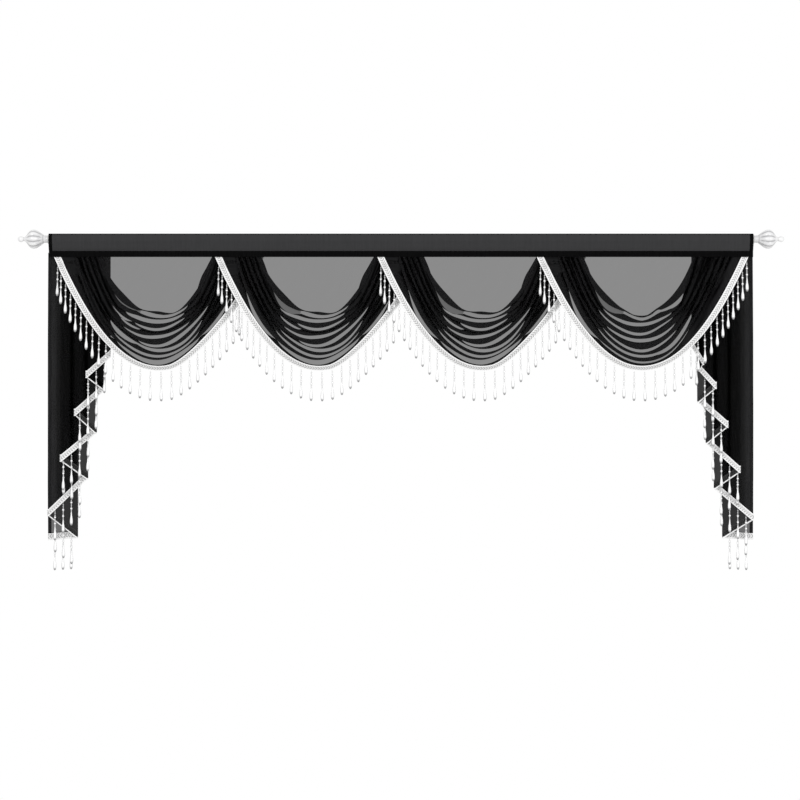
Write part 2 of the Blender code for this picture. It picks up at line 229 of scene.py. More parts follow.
def joined(parts: list[Surface]) -> Surface:
    """Joins several surfaces into one.

    Args:
        parts: surfaces with grey shares.

    Returns:
        A surface of all their quads, for welding.
    """
    points = [part.points.reshape(-1, 3) for part in parts]
    starts = np.cumsum([0] + [len(each) for each in points[:-1]])
    return Surface(
        points=np.concatenate(points),
        quads=np.concatenate([part.quads + start for part, start in zip(parts, starts)]),
        flat=np.concatenate([part.flat.reshape(-1, 2) for part in parts]),
        grey=np.concatenate([part.grey.ravel() for part in parts]),
        weld=True,
    )


def lathe(profile: np.ndarray, sides: int, grey: float = 0.0) -> Surface:
    """Turns a profile round a hanging axis.

    A point at drop d and radius r goes to (r sin a, -r cos a, -d) at angle a.

    Args:
        profile: rows of drop and radius, from the top.
        sides: number of sides.
        grey: share of the darker tone.

    Returns:
        A closed surface with its seam doubled, for welding.
    """
    angles = np.linspace(0.0, WHOLE_TURN, sides + 1)
    drop = profile[:, 0, None] + 0.0 * angles
    radius = profile[:, 1, None] + 0.0 * angles
    points = np.stack((radius * np.sin(angles), -radius * np.cos(angles), -drop), axis=-1)
    flat = np.stack((angles / WHOLE_TURN + 0.0 * drop, drop), axis=-1)
    quads = grid_faces(len(profile), sides + 1)
    return Surface(points, quads, flat, grey=np.full(drop.shape, grey))


class NodeBoard:
    """Adds and links the shader nodes of one material."""

    def __init__(self, name: str) -> None:
        """Starts a material with a lone Principled shader.

        Args:
            name: the material's name.
        """
        self.material = bpy.data.materials.new(name)
        self.material.use_nodes = True
        self.nodes = self.material.node_tree.nodes
        self.links = self.material.node_tree.links
        self.shader = self.nodes["Principled BSDF"]

    def set(self, **values: object) -> None:
        """Sets the shader's plain values, named with underscores for spaces."""
        for name, value in values.items():
            self.shader.inputs[name.replace("_", " ")].default_value = value

    def join(self, source: bpy.types.NodeSocket, name: str) -> None:
        """Links a socket to one of the shader's inputs."""
        self.links.new(source, self.shader.inputs[name])

    def feed(self, target: bpy.types.NodeSocket, value: object) -> None:
        """Gives an input a number, a colour or another node's output.

        Args:
            target: the input.
            value: the number, (red, green, blue) or output.
        """
        if isinstance(value, bpy.types.NodeSocket):
            self.links.new(value, target)
        else:
            target.default_value = (*value, 1.0) if isinstance(value, tuple) else value

    def place(self, flat: bool) -> bpy.types.NodeSocket:
        """Place on the piece: its flat pattern, or Object coordinates."""
        node = self.nodes.new("ShaderNodeTexCoord")
        return node.outputs["UV" if flat else "Object"]

    def stretched(
        self, place: bpy.types.NodeSocket, scale: tuple[float, float, float]
    ) -> bpy.types.NodeSocket:
        """Scales a place.

        Args:
            place: the place.
            scale: a factor for each axis.

        Returns:
            The scaled place.
        """
        node = self.nodes.new("ShaderNodeMapping")
        node.inputs["Scale"].default_value = scale
        self.links.new(place, node.inputs["Vector"])
        return node.outputs["Vector"]

    def split(self, place: bpy.types.NodeSocket) -> tuple:
        """Takes a place apart.

        Args:
            place: the place.

        Returns:
            Its X and Y.
        """
        node = self.nodes.new("ShaderNodeSeparateXYZ")
        self.links.new(place, node.inputs["Vector"])
        return node.outputs["X"], node.outputs["Y"]

    def noise(
        self, place: bpy.types.NodeSocket, scale: float, detail: float
    ) -> bpy.types.NodeSocket:
        """Makes soft noise.

        Args:
            place: where on the piece.
            scale: clouds in a metre of it.
            detail: how many finer layers of noise are added.

        Returns:
            A value mostly between 0.3 and 0.7.
        """
        node = self.nodes.new("ShaderNodeTexNoise")
        node.inputs["Scale"].default_value = scale
        node.inputs["Detail"].default_value = detail
        self.links.new(place, node.inputs["Vector"])
        return node.outputs["Fac"]

    def grey(self) -> bpy.types.NodeSocket:
        """Reads the mesh's grey share.

        Returns:
            0 in the plain tone to 1 in the darker one.
        """
        node = self.nodes.new("ShaderNodeAttribute")
        node.attribute_name = "grey"
        return node.outputs["Fac"]

    def math(self, operation: str, first: object, second: object = 0.0) -> bpy.types.NodeSocket:
        """Works out a value.

        Args:
            operation: the Math node's operation.
            first: its first number or output.
            second: its second one.

        Returns:
            The result.
        """
        node = self.nodes.new("ShaderNodeMath")
        node.operation = operation
        self.feed(node.inputs[0], first)
        self.feed(node.inputs[1], second)
        return node.outputs["Value"]

    def ramp(
        self, value: bpy.types.NodeSocket, stops: tuple[tuple[float, tuple], ...]
    ) -> bpy.types.NodeSocket:
        """Turns a value into a colour.

        Args:
            value: the value.
            stops: (position, (red, green, blue)) pairs.

        Returns:
            The colour.
        """
        node = self.nodes.new("ShaderNodeValToRGB")
        elements = node.color_ramp.elements
        while len(elements) < len(stops):
            elements.new(1.0)
        for element, (position, colour) in zip(elements, stops):
            element.position = position
            element.color = (*colour, 1.0)
        self.links.new(value, node.inputs["Fac"])
        return node.outputs["Color"]

    def blend(
        self, share: object, first: object, second: object, kind: str = "MIX"
    ) -> bpy.types.NodeSocket:
        """Mixes two colours.

        Args:
            share: the second colour's share.
            first: a colour or output.
            second: another one.
            kind: the Mix node's way of blending.

        Returns:
            The mixed colour.
        """
        node = self.nodes.new("ShaderNodeMix")
        node.data_type = "RGBA"
        node.blend_type = kind
        self.feed(node.inputs[0], share)
        self.feed(node.inputs[6], first)
        self.feed(node.inputs[7], second)
        return node.outputs[2]

    def bump(self, height: bpy.types.NodeSocket, depth: float, strength: float = 1.0) -> None:
        """Roughens the shader's surface.

        Args:
            height: the height as a share of the depth.
            depth: in metres.
            strength: how much of the bump shows.
        """
        node = self.nodes.new("ShaderNodeBump")
        node.inputs["Distance"].default_value = depth
        node.inputs["Strength"].default_value = strength
        self.links.new(height, node.inputs["Height"])
        self.join(node.outputs["Normal"], "Normal")


@dataclass(frozen=True)
class VoileFinish:
    """Sheer black voile. Cover is the share of the light that one cloth stops."""

    name: str
    cover: float
    shade: float = 0.0125
    # Near-black tone of the painted shade.
    valley: float = 0.0003
    bluer: float = 0.04
    thread: float = 0.0006
    thread_rise: float = 0.00003
    slub: float = 0.25
    slubs: tuple[float, ...] = (240.0, 14.0, 1.0)

    def make(self) -> bpy.types.Material:
        """Crosses fine threads, with soft slubs along them and dark painted shade in the valleys
        and creases that the grey share marks.

        The height is the sum of two sines, one for each way of the threads.

        Returns:
            The material.
        """
        board = NodeBoard(self.name)
        place = board.place(flat=True)
        across, down = board.split(place)
        warp = board.math("SINE", board.math("MULTIPLY", across, WHOLE_TURN / self.thread))
        weft = board.math("SINE", board.math("MULTIPLY", down, WHOLE_TURN / self.thread))
        slub = board.noise(board.stretched(place, self.slubs), 1.0, 2.0)
        dark, light = (self.shade * (1.0 + side * self.slub) for side in (-1.0, 1.0))
        lit = board.ramp(
            slub, ((0.32, tone(dark, dark * self.bluer)), (0.68, tone(light, light * self.bluer)))
        )
        # Painted shade: the grey share blends the cloth to the near-black valley tone.
        board.join(board.blend(board.grey(), lit, tone(self.valley)), "Base Color")
        board.bump(board.math("ADD", warp, weft), self.thread_rise, 0.2)
        board.set(Roughness=0.85, Alpha=self.cover, Specular_IOR_Level=0.0)
        return board.material


@dataclass(frozen=True)
class BraidFinish:
    """White woven braid: satin edges and a herringbone middle."""

    name: str = "White braid"
    pitch: float = RIB_PITCH
    slant: float = RIB_SLANT
    edge: float = 0.17
    thread: float = 0.0009
    thread_share: float = 0.12
    rib_rise: float = 0.0004

    def make(self) -> bpy.types.Material:
        """Draws slanting ribs that meet in the middle, between two bright edges.

        A rib's height goes up and down with the place along the braid plus the
        slant times the distance from its middle. The herringbone greys towards the
        rib troughs, which is painted shade.

        Returns:
            The material.
        """
        board = NodeBoard(self.name)
        along, across = board.split(board.place(flat=True))
        middle = board.math("ABSOLUTE", board.math("SUBTRACT", across, 0.5))
        ribs = board.math("DIVIDE", along, self.pitch)
        slanting = board.math("ADD", ribs, board.math("MULTIPLY", middle, self.slant))
        rib = board.math("PINGPONG", slanting, 0.5)
        # The herringbone's grey deepens towards the rib troughs: painted shade on the weave.
        web_and_shade = board.ramp(rib, ((0.08, tone(0.36)), (0.20, tone(0.62)), (0.40, tone(0.84))))
        satin = board.math("GREATER_THAN", middle, 0.5 - self.edge)
        board.join(board.blend(satin, web_and_shade, tone(0.97)), "Base Color")
        fine = board.math("SINE", board.math("MULTIPLY", along, WHOLE_TURN / self.thread))
        height = board.math("ADD", rib, board.math("MULTIPLY", fine, self.thread_share))
        board.bump(height, self.rib_rise, 0.6)
        board.set(Roughness=0.5, Specular_IOR_Level=0.4, Sheen_Weight=0.15)
        return board.material


@dataclass(frozen=True)
class BeadFinish:
    """Clear and pearl white beads with a faint painted glow, greyed at their rims by painted
    shade and darker at their caps and tips.
    """

    name: str = "Clear white beads"
    edge_on: float = 0.42
    clouds: float = 210.0
    vein: float = 0.35
    painted_glow: float = 0.035

    def make(self) -> bpy.types.Material:
        """Makes the beads white face-on, greys their rims with painted shade and their grey
        shares, and adds a faint painted glow.

        Returns:
            The material.
        """
        board = NodeBoard(self.name)
        facing = board.nodes.new("ShaderNodeLayerWeight")
        facing.inputs["Blend"].default_value = self.edge_on
        # Painted shade: the rims grey as they turn away from the view.
        painted_rim_shade = board.ramp(facing.outputs["Facing"], ((0.18, tone(0.94)), (0.70, tone(0.46, 0.01))))
        place = board.stretched(board.place(flat=False), (1.0, 1.0, 0.5))
        cloud = board.noise(place, self.clouds, 2.0)
        veins = board.ramp(cloud, ((0.3, tone(0.82, 0.01)), (0.6, tone(1.0))))
        veined = board.blend(self.vein, painted_rim_shade, veins, "MULTIPLY")
        board.join(board.blend(board.grey(), veined, tone(0.16, 0.005)), "Base Color")
        board.set(Roughness=0.12, Coat_Weight=0.6, Coat_Roughness=0.05, Specular_IOR_Level=0.6)
        # A faint painted glow, though the beads give no light.
        board.set(Emission_Color=(*tone(1.0), 1.0), Emission_Strength=self.painted_glow)
        return board.material


@dataclass(frozen=True)
class PearlFinish:
    """Pearl white finial with painted shade in its grooves."""

    name: str = "Pearl white"
    clouds: float = 90.0
    cloud_rise: float = 0.0002

    def make(self) -> bpy.types.Material:
        """Clouds the pearl faintly and darkens it with painted shade where the grey share says.

        Returns:
            The material.
        """
        board = NodeBoard(self.name)
        cloud = board.noise(board.place(flat=False), self.clouds, 3.0)
        pearl = board.ramp(cloud, ((0.35, tone(0.80, 0.01)), (0.65, tone(0.90))))
        board.join(board.blend(board.grey(), pearl, tone(0.30, 0.01)), "Base Color")
        board.bump(cloud, self.cloud_rise, 0.3)
        board.set(Roughness=0.3, Coat_Weight=0.5, Coat_Roughness=0.12)
        return board.material


@dataclass(frozen=True)
class PaintFinish:
    """White paint on the rod."""

    name: str = "White rod paint"
    marks: tuple[float, ...] = (4.0, 900.0, 900.0)
    mark_rise: float = 0.00005

    def make(self) -> bpy.types.Material:
        """Marks the smooth paint faintly along the rod.

        Returns:
            The material.
        """
        board = NodeBoard(self.name)
        marks = board.noise(board.stretched(board.place(flat=False), self.marks), 1.0, 2.0)
        paint = board.ramp(marks, ((0.3, tone(0.76, -0.01)), (0.7, tone(0.82, -0.01))))
        board.join(paint, "Base Color")
        board.bump(marks, self.mark_rise, 0.4)
        board.set(Roughness=0.35, Coat_Weight=0.3)
        return board.material


def made(
    finish: VoileFinish | BraidFinish | BeadFinish | PearlFinish | PaintFinish,
) -> bpy.types.Material:
    """Gives a field of the finishes the material that a finish makes."""
    return field(default_factory=finish.make)


@dataclass
class Finishes:
    """The valance's materials, made once."""

    voile: bpy.types.Material = made(VoileFinish("Sheer voile", 0.752))
    folded: bpy.types.Material = made(VoileFinish("Folded voile", 0.985))
    wedge: bpy.types.Material = made(VoileFinish("Close voile", 0.875))
    # The tails' lighter base colours are painted light on their outer edge; their grey share
    # paints shade on the rest.
    tail: bpy.types.Material = made(VoileFinish("Tail voile", 0.855, 0.016))
    lapped: bpy.types.Material = made(VoileFinish("Lapped tail voile", 0.80, 0.018))
    # The heading's grey base colour is painted light, standing in for light through its doubled
    # cloth.
    heading: bpy.types.Material = made(VoileFinish("Heading voile", 0.93, 0.040, slub=0.05))
    # The seamed voile's near-black base colour is painted shade on the heading's edges and band;
    # the stitches use it too.
    seam: bpy.types.Material = made(VoileFinish("Seamed voile with painted shade", 0.985, 0.004))
    braid: bpy.types.Material = made(BraidFinish())
    beads: bpy.types.Material = made(BeadFinish())
    pearl: bpy.types.Material = made(PearlFinish())
    paint: bpy.types.Material = made(PaintFinish())


def hold(piece: bpy.types.Object, slot: str, *nodes: str) -> bpy.types.Object:
    """Rides a piece on the only body, in place of its solids.

    Args:
        piece: the piece.
        slot: the record's material slot; not used.
        nodes: the solids that it stands for.

    Returns:
        The piece.
    """
    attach(piece, "root")
    if nodes:
        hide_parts(*nodes)
    return piece


@dataclass
class Strand:
    """A hanging thread with small seed beads, pearls and a long drop.

    Every bead is turned round the thread. Places are drops below the braid, and
    the drop's profile is (drop, radius) from its cap to its tip.
    """

    tip: float = 0.0880
    sides: int = 8
    thread: float = 0.0003
    thread_ends: tuple[float, ...] = (-0.001, 0.0485)
    seed: float = 0.0020
    seed_half: float = 0.0016
    seed_grey: float = 0.28
    seed_steps: int = 4
    seeds: tuple[float, ...] = (0.0066, 0.0112, 0.0160, 0.0267, 0.0306, 0.0345, 0.0440, 0.0476)
    pearl: float = 0.0032
    pearl_half: float = 0.0034
    pearl_steps: int = 6
    pearls: tuple[float, ...] = (0.0215, 0.0392)
    profile: tuple[tuple[float, float], ...] = (
        (0.0490, 0.0000), (0.0492, 0.0017), (0.0560, 0.0020), (0.0615, 0.0026), (0.0665, 0.0037),
        (0.0720, 0.0044), (0.0790, 0.0045), (0.0835, 0.0037), (0.0865, 0.0025), (0.0880, 0.0000),
    )
    tip_grey: float = 0.9
    tip_greys: tuple[float, ...] = (0.0790, 0.0850)
    turn: float = 2.4

    def ball(self, centre: float, half: float, radius: float, grey: float, steps: int) -> Surface:
        """Turns a bead, whose radius goes with the sine of the angle from its top.

        Args:
            centre: its middle's drop.
            half: half its height.
            radius: its radius.
            grey: share of the darker tone.
            steps: rings from top to bottom.

        Returns:
            The bead.
        """
        angles = np.linspace(0.0, math.pi, steps + 1)
        profile = np.stack((centre - half * np.cos(angles), radius * np.sin(angles)), axis=-1)
        return lathe(profile, self.sides, grey)

    def drop(self) -> Surface:
        """Turns the long drop: narrow at its cap, widest low down, with a blunt tip.

        Returns:
            The drop, darker towards its tip.
        """
        surface = lathe(np.array(self.profile), self.sides)
        surface.grey = self.tip_grey * smooth(-surface.points[..., 2], *self.tip_greys)
        return surface

    def surface(self) -> Surface:
        """Makes one whole strand.

        Returns:
            The strand, hung from the origin.
        """
        thread = lathe(np.array([(end, self.thread) for end in self.thread_ends]), 4)
        seeds = [
            self.ball(drop, self.seed_half, self.seed, self.seed_grey, self.seed_steps)
            for drop in self.seeds
        ]
        pearls = [
            self.ball(drop, self.pearl_half, self.pearl, 0.0, self.pearl_steps)
            for drop in self.pearls
        ]
        return joined([thread, *seeds, *pearls, self.drop()])

    def hang(
        self, name: str, feet: np.ndarray, leans: np.ndarray, finish: bpy.types.Material
    ) -> bpy.types.Object:
        """Hangs a strand from every foot, each turned a little further round.

        A point at drop d moves by the strand's lean times d over the tip's drop.

        Args:
            name: the piece's name.
            feet: where the strands leave the braid.
            leans: how far each tip is off its foot.
            finish: the beads' material.

        Returns:
            The strands as one piece.
        """
        one = self.surface()
        share = np.clip(-one.points[:, 2] / self.tip, 0.0, 1.0)
        turns = np.arange(len(feet)) * self.turn
        cos, sin = np.cos(turns)[:, None], np.sin(turns)[:, None]
        x = one.points[None, :, 0] * cos - one.points[None, :, 1] * sin
        y = one.points[None, :, 0] * sin + one.points[None, :, 1] * cos
        z = np.broadcast_to(one.points[None, :, 2], x.shape)
        points = np.stack((x, y, z), axis=-1) + feet[:, None, :]
        points = points + leans[:, None, :] * share[None, :, None]
        starts = np.arange(len(feet)) * len(one.points)
        many = Surface(
            points=points,
            quads=(one.quads[None] + starts[:, None, None]).reshape(-1, 4),
            flat=np.tile(one.flat, (len(feet), 1)),
            grey=np.tile(one.grey, len(feet)),
            weld=True,
        )
        return many.add(name, [finish])


@dataclass
class Braid:
    """A woven strip along a path, given by its upper edge, lower edge and face side."""

    half: float = 0.00055
    edge_rise: float = 0.00055
    edge_at: float = 0.42
    edge_reach: float = 0.055
    rib_rise: float = 0.00035
    rib_reach: float = 0.33
    step: float = 0.0015
    stations: tuple[float, ...] = (
        0.0, 0.05, 0.10, 0.16, 0.22, 0.32, 0.42, 0.5, 0.58, 0.68, 0.78, 0.84, 0.90, 0.95, 1.0,
    )

    def weave(
        self,
        name: str,
        upper: np.ndarray,
        lower: np.ndarray,
        out: np.ndarray,
        finish: bpy.types.Material,
    ) -> bpy.types.Object:
        """Makes the strip with raised edges and slanting ribs.

        Across the strip the face stands off by the half thickness, plus a round
        cord at each edge and ribs whose phase moves with the distance from the middle.

        Args:
            name: the piece's name.
            upper: points of the upper edge.
            lower: points of the lower edge.
            out: unit directions to the face side.
            finish: the braid's material.

        Returns:
            The strip as one closed piece.
        """
        length = run_length(0.5 * (upper + lower))
        places = np.linspace(0.0, length[-1], max(3, int(length[-1] / self.step)))
        upper, lower, out = (
            np.stack([np.interp(places, length, line[:, k]) for k in range(3)], axis=-1)
            for line in (upper, lower, out)
        )
        out = unit(out)
        face = np.array(self.stations)
        across = np.concatenate((face, face[::-1][1:]))
        front = np.concatenate((np.ones(len(face)), -np.ones(len(face) - 1)))
        front[[0, len(face) - 1, -1]] = 0.0
        off_middle = np.abs(across - 0.5)
        cords = np.exp(-(((off_middle - self.edge_at) / self.edge_reach) ** 2))
        phase = places[:, None] / RIB_PITCH + RIB_SLANT * off_middle
        ribs = (0.5 + 0.5 * np.cos(WHOLE_TURN * phase)) * (off_middle < self.rib_reach)
        rise = self.half + self.edge_rise * cords + self.rib_rise * ribs
        rise = np.where(front > 0.0, rise, self.half * front)
        taper = np.ones(len(places))
        taper[[0, -1]] = 0.0
        points = (
            upper[:, None, :]
            + (lower - upper)[:, None, :] * across[None, :, None]
            + out[:, None, :] * (rise * taper[:, None])[..., None]
        )
        flat = np.stack(np.broadcast_arrays(places[:, None], across[None, :]), axis=-1)
        surface = Surface(points, grid_faces(len(places), len(across)), flat, weld=True)
        return surface.add(name, [finish])


class Gap(NamedTuple):
    """A lens of single cloth between two folds.

    It has where it starts, is widest and ends along the swag, its width in rows,
    and how sharp its ends are.
    """

    left: float
    peak: float
    right: float
    width: float
    sharp: float = 0.5


class Fold(NamedTuple):
    """One fold: the row of its lower edge at each knot, and the gaps above it."""

    rows: tuple[float, ...]
    gaps: tuple[Gap, ...] = ()


class Row(NamedTuple):
    """A row of a swag.

    It has its drop in the middle, how far it has spread from the window's half
    width to the hem's, and the power of its curve.
    """

    drop: float
    spread: float
    power: float


ROWS = (
    Row(0.0000, -0.220, 40.0),
    Row(0.0146, -0.100, 40.0),
    Row(0.0850, -0.052, 2.40),
    Row(0.1350, -0.024, 2.40),
    Row(0.1788, 0.000, 2.40),
    Row(0.1927, 0.145, 2.28),
    Row(0.2169, 0.282, 2.22),
    Row(0.2362, 0.410, 2.17),
    Row(0.2623, 0.538, 2.12),
    Row(0.2765, 0.667, 2.08),
    Row(0.2919, 0.782, 2.04),
    Row(0.3064, 0.889, 2.02),
    Row(0.3225, 1.000, 2.00),
)


@dataclass(frozen=True)
class Valleys:
    """Shaded valleys between the pleats gathered at a swag's sides.

    Places down the swag are in rows, and the valleys drift down towards its middle.
    """

    first: float = 5.0
    right_rise: float = 0.35
    drift: float = 3.1
    drift_start: float = 0.95
    pitch: float = 1.06
    count: float = 3.5
    right_more: float = 2.0
    begin: tuple[float, ...] = (-0.8, -0.3)
    fade: float = 0.3
    sides: tuple[float, ...] = (0.45, 0.62)

    def shade(self, row: np.ndarray, along: np.ndarray) -> np.ndarray:
        """Shades a cosine of the row, past the first valley and before the last.

        Args:
            row: row numbers.
            along: places from -1 to 1.

        Returns:
            0 on a pleat's crown to 1 in the valley beside it.
        """
        right = along > 0.0
        start = self.first - self.right_rise * right
        turn = row - start - self.drift * np.maximum(0.0, self.drift_start - np.abs(along))
        wave = 0.5 + 0.5 * np.cos(WHOLE_TURN * turn / self.pitch)
        last = self.pitch * (self.count + self.right_more * right)
        inside = smooth(turn, *self.begin) * (1.0 - smooth(turn, last - self.fade, last))
        return smooth(np.abs(along), *self.sides) * inside * wave


@dataclass(frozen=True)
class Creases:
    """Faint slanting creases across a swag, in radians a metre."""

    height: float = 0.0006
    across: float = 95.0
    down: float = 60.0
    beat: float = 21.0
    appear: tuple[float, ...] = (0.03, 0.08)
    fade: tuple[float, ...] = (0.27, 0.31)

    def depth(self, x: np.ndarray, fall: np.ndarray, wave: float) -> np.ndarray:
        """Multiplies two sines, and fades them out at the heading and the hem.

        Args:
            x: places across the swag.
            fall: drops below its top.
            wave: the phase that sets one swag apart from the next.

        Returns:
            How far back each place is moved.
        """
        clear = smooth(fall, *self.appear) * (1.0 - smooth(fall, *self.fade))
        slanting = np.sin(self.across * np.abs(x) + self.down * fall + wave)
        return self.height * slanting * np.sin(self.beat * x + 2.0 * wave) * clear


@dataclass
class Swag:
    """One swag: a flat sheer window over lapping U-shaped folds.

    Rows count down the swag: 0 the top, 1 the tuck behind the band, 2 and 3 the
    window, 4 to 11 the folds and 12 the hem. A fold's edge may lie between rows.
    Places along the swag go from -1 at its left end to 1 at its right.
    """

    number: int
    centre: float
    window_left: float
    window_right: float
    right_y: float
    right_stack_y: float
    strand_share: float
    hitch: float
    wave: float
    folds: tuple[Fold, ...]
    rows: tuple[Row, ...] = ROWS
    valleys: Valleys = Valleys()
    creases: Creases = Creases()
    # Heights and depths, from the stack behind the band to the hung cloth.
    top_z: float = -0.038
    band_bottom: float = -0.0506
    stack_y: float = 0.0028
    stack_step_x: tuple[float, ...] = (0.09, 0.15)
    hang_start: float = 0.010
    hang_reach: float = 0.026
    left_y: float = -0.0140
    side_x: float = 0.16
    belly: float = 0.027
    belly_half: float = 0.30
    belly_power: float = 1.3
    belly_reach: float = 0.22
    fold_depth: float = 0.0086
    fold_reach: float = 0.030
    stack_relief: float = 0.0008
    # The hem, and how far each fold laps behind the one above it, in rows.
    hem_left: float = 0.283
    hem_right: float = 0.283
    hem_number: float = 12.0
    hem_relief: float = 0.3
    hem_turn: float = 0.18
    turn_reliefs: tuple[float, ...] = (0.75, 0.6)
    knots: tuple[float, ...] = (-1.0, -0.6, -0.3, 0.0, 0.3, 0.6, 1.0)
    window_lap: tuple[float, ...] = (0.2, 1.42, 0.15, 0.22, 0.20, 0.75, 0.5)
    edge_wave: float = 0.03
    edge_turn: float = 5.0
    edge_phase: float = 1.7
    side_lap: float = 1.1
    side_lap_change: float = 0.25
    side_lap_turn: float = 2.0
    last_lap: float = 0.8
    least_lap: float = 0.12
    least_lap_reach: float = 0.02
    lap_reach: float = 0.3
    sides: tuple[float, ...] = (0.5, 0.8)
    shade_reach: float = 0.40
    least_ply: float = 0.05
    # The mesh: where its close wedge ends, and its steps.
    wedge: float = -0.30
    columns: int = 181
    window_steps: int = 30
    ply_steps: int = 8
    # The hem's hitch.
    hitch_at: float = 0.46
    hitch_reach: float = 0.36
    hitch_power: float = 1.5
    # The braid along the hem.
    braid_width: float = 0.0175
    braid_lap: float = 0.0012
    braid_off: float = 0.0012
    braid_steps: int = 801
    tangent_step: float = 0.002
    braid_tilt: float = math.radians(45)
    tilt_reach: float = 0.85
    tilt_power: float = 0.8
    # The bead strands along the braid.
    first_strand: float = 0.0330
    last_strand: float = 0.0330
    strand_pitch: float = 0.0298
    strand_lean: float = 0.003
    strand_splay: float = 0.001
    strand_steps: int = 401

    def place(self, row: np.ndarray, along: np.ndarray, relief: np.ndarray) -> np.ndarray:
        """Points of the swag.

        A row of half width w and drop d hangs as x = w a and z = -d (1 - |a|^p).
        Its depth goes from the stack behind the band to the hung cloth, less a
        belly that is a power of 1 - (x / half)^2, plus relief times half a fold.

        Args:
            row: row numbers, not only whole ones.
            along: places from -1 at the left end to 1 at the right.
            relief: -1 at the front of a fold to 1 at its back.

        Returns:
            Points, in the shape that the three make together.
        """
        numbers = np.arange(len(self.rows))
        drops, spreads, powers = np.array(self.rows).T
        drop = np.interp(row, numbers, drops)
        spread = np.interp(row, numbers, spreads)
        power = 1.0 / np.interp(row, numbers, 1.0 / powers)
        window = np.where(along < 0.0, self.window_left, self.window_right)
        hem = np.where(along < 0.0, self.hem_left, self.hem_right)
        x = along * (window + spread * (hem - window))
        z = self.top_z - drop * (1.0 - np.abs(along) ** power)
        below = np.maximum(0.0, self.band_bottom - self.hang_start - z)
        stack = self.stack_y + self.right_stack_y * smooth(x, *self.stack_step_x)
        hung = self.left_y + (self.right_y - self.left_y) * smooth(x, -self.side_x, self.side_x)
        hang = smooth(below, 0.0, self.hang_reach)
        bulge = np.maximum(0.0, 1.0 - (x / self.belly_half) ** 2) ** self.belly_power
        belly = self.belly * bulge * smooth(below, 0.0, self.belly_reach)
        deep = 0.5 * self.fold_depth - self.stack_relief
        fold = relief * (self.stack_relief + deep * smooth(below, 0.0, self.fold_reach))
        y = stack + (hung - stack) * hang - belly + fold
        return np.stack((self.centre + x, y, z), axis=-1)

    def gap(self, fold: Fold, along: np.ndarray) -> tuple[np.ndarray, np.ndarray]:
        """How open a fold is.

        Inside a gap at u of the way from its widest place to its end, the width
        is that of the gap times a power of 1 - u^2. Outside, the cloth laps.

        Args:
            fold: the fold.
            along: places from -1 to 1.

        Returns:
            The rows of single cloth above the fold, and 0 by a gap rising to 1 at the sides.
        """
        width = 0.0 * along
        away = 1.0 + 0.0 * along
        for gap in fold.gaps:
            reach = np.where(along < gap.peak, gap.peak - gap.left, gap.right - gap.peak)
            share = np.abs(along - gap.peak) / reach
            width = np.maximum(width, gap.width * np.maximum(0.0, 1.0 - share**2) ** gap.sharp)
            away = np.minimum(away, smooth((share - 1.0) * reach, 0.0, self.lap_reach))
        width = width - self.least_lap * smooth(away, 0.0, self.least_lap_reach)
        return width, away * smooth(np.abs(along), *self.sides)

    def hem_row(self, along: np.ndarray) -> np.ndarray:
        """Row of the hem, which is hitched up on the right shoulder."""
        off = (along - self.hitch_at) / self.hitch_reach
        return self.hem_number - self.hitch * np.maximum(0.0, 1.0 - off**2) ** self.hitch_power

    def turns(self, along: np.ndarray) -> list[tuple[np.ndarray, float]]:
        """Where the sheet turns on its way down.

        Fold k's edge is at its row. From there the cloth laps back up past the
        edge before, less the gap between them, and comes down again behind.

        Args:
            along: places from -1 to 1.

        Returns:
            Pairs of row and relief, -1 in front and 1 at the back.
        """
        found = [(0.0 * along, 0.0)]
        before = None
        for k, fold in enumerate(self.folds[:-1]):
            uneven = np.sin(self.edge_turn * along + self.edge_phase * k + self.wave)
            lower = curve(along, self.knots, fold.rows) + self.edge_wave * uneven
            width, away = self.gap(fold, along)
            change = self.side_lap_change * math.sin(self.side_lap_turn * k)
            extra = (self.side_lap + change) * away
            if before is None:
                upper = lower - curve(along, self.knots, self.window_lap)
            else:
                upper = before + width - extra
            found += [(lower, -1.0), (upper, 1.0)]
            before = lower
        hem = self.hem_row(along)
        width, away = self.gap(self.folds[-1], along)
        turned = hem - self.hem_turn
        tucked = np.minimum(before + width - self.last_lap * away, turned)
        reliefs = (self.hem_relief, *self.turn_reliefs)
        return found + list(zip((hem, tucked, turned), reliefs))

    def cloth(self) -> Surface:
        """Lays the sheet in a zigzag down over its folds to a turned hem.

        Steps along each ply are closer at its ends. The grey share is painted shade:
        1 where a ply comes out from under the edge in front of it, and in the
        valleys between the pleats at the sides.

        Returns:
            The sheet: slot 0 single cloth, 1 a ply of a fold and 2 the wedge of
            close cloth at the left.
        """
        along = np.sin(np.linspace(-1.0, 1.0, self.columns) * 0.5 * math.pi)
        along = 0.5 * along + 0.5 * np.linspace(-1.0, 1.0, self.columns)
        turns = self.turns(along)
        rows, reliefs, creases, slots = [], [], [], []
        for k, ((start, first), (stop, last)) in enumerate(zip(turns, turns[1:])):
            steps = self.window_steps if k == 0 else self.ply_steps
            share = 0.5 - 0.5 * np.cos(np.linspace(0.0, math.pi, steps, endpoint=False))[:, None]
            row = start + (stop - start) * share
            rows.append(row)
            eased = share**2 if k == 0 else share
            reliefs.append(first + (last - first) * eased + 0.0 * along)
            down = k % 2 == 0 and k > 0
            hidden = turns[k - 1][0]
            open_ply = np.maximum(stop - hidden, self.least_ply)
            shown = (row - hidden) / open_ply if down else 1.0 + 0.0 * row
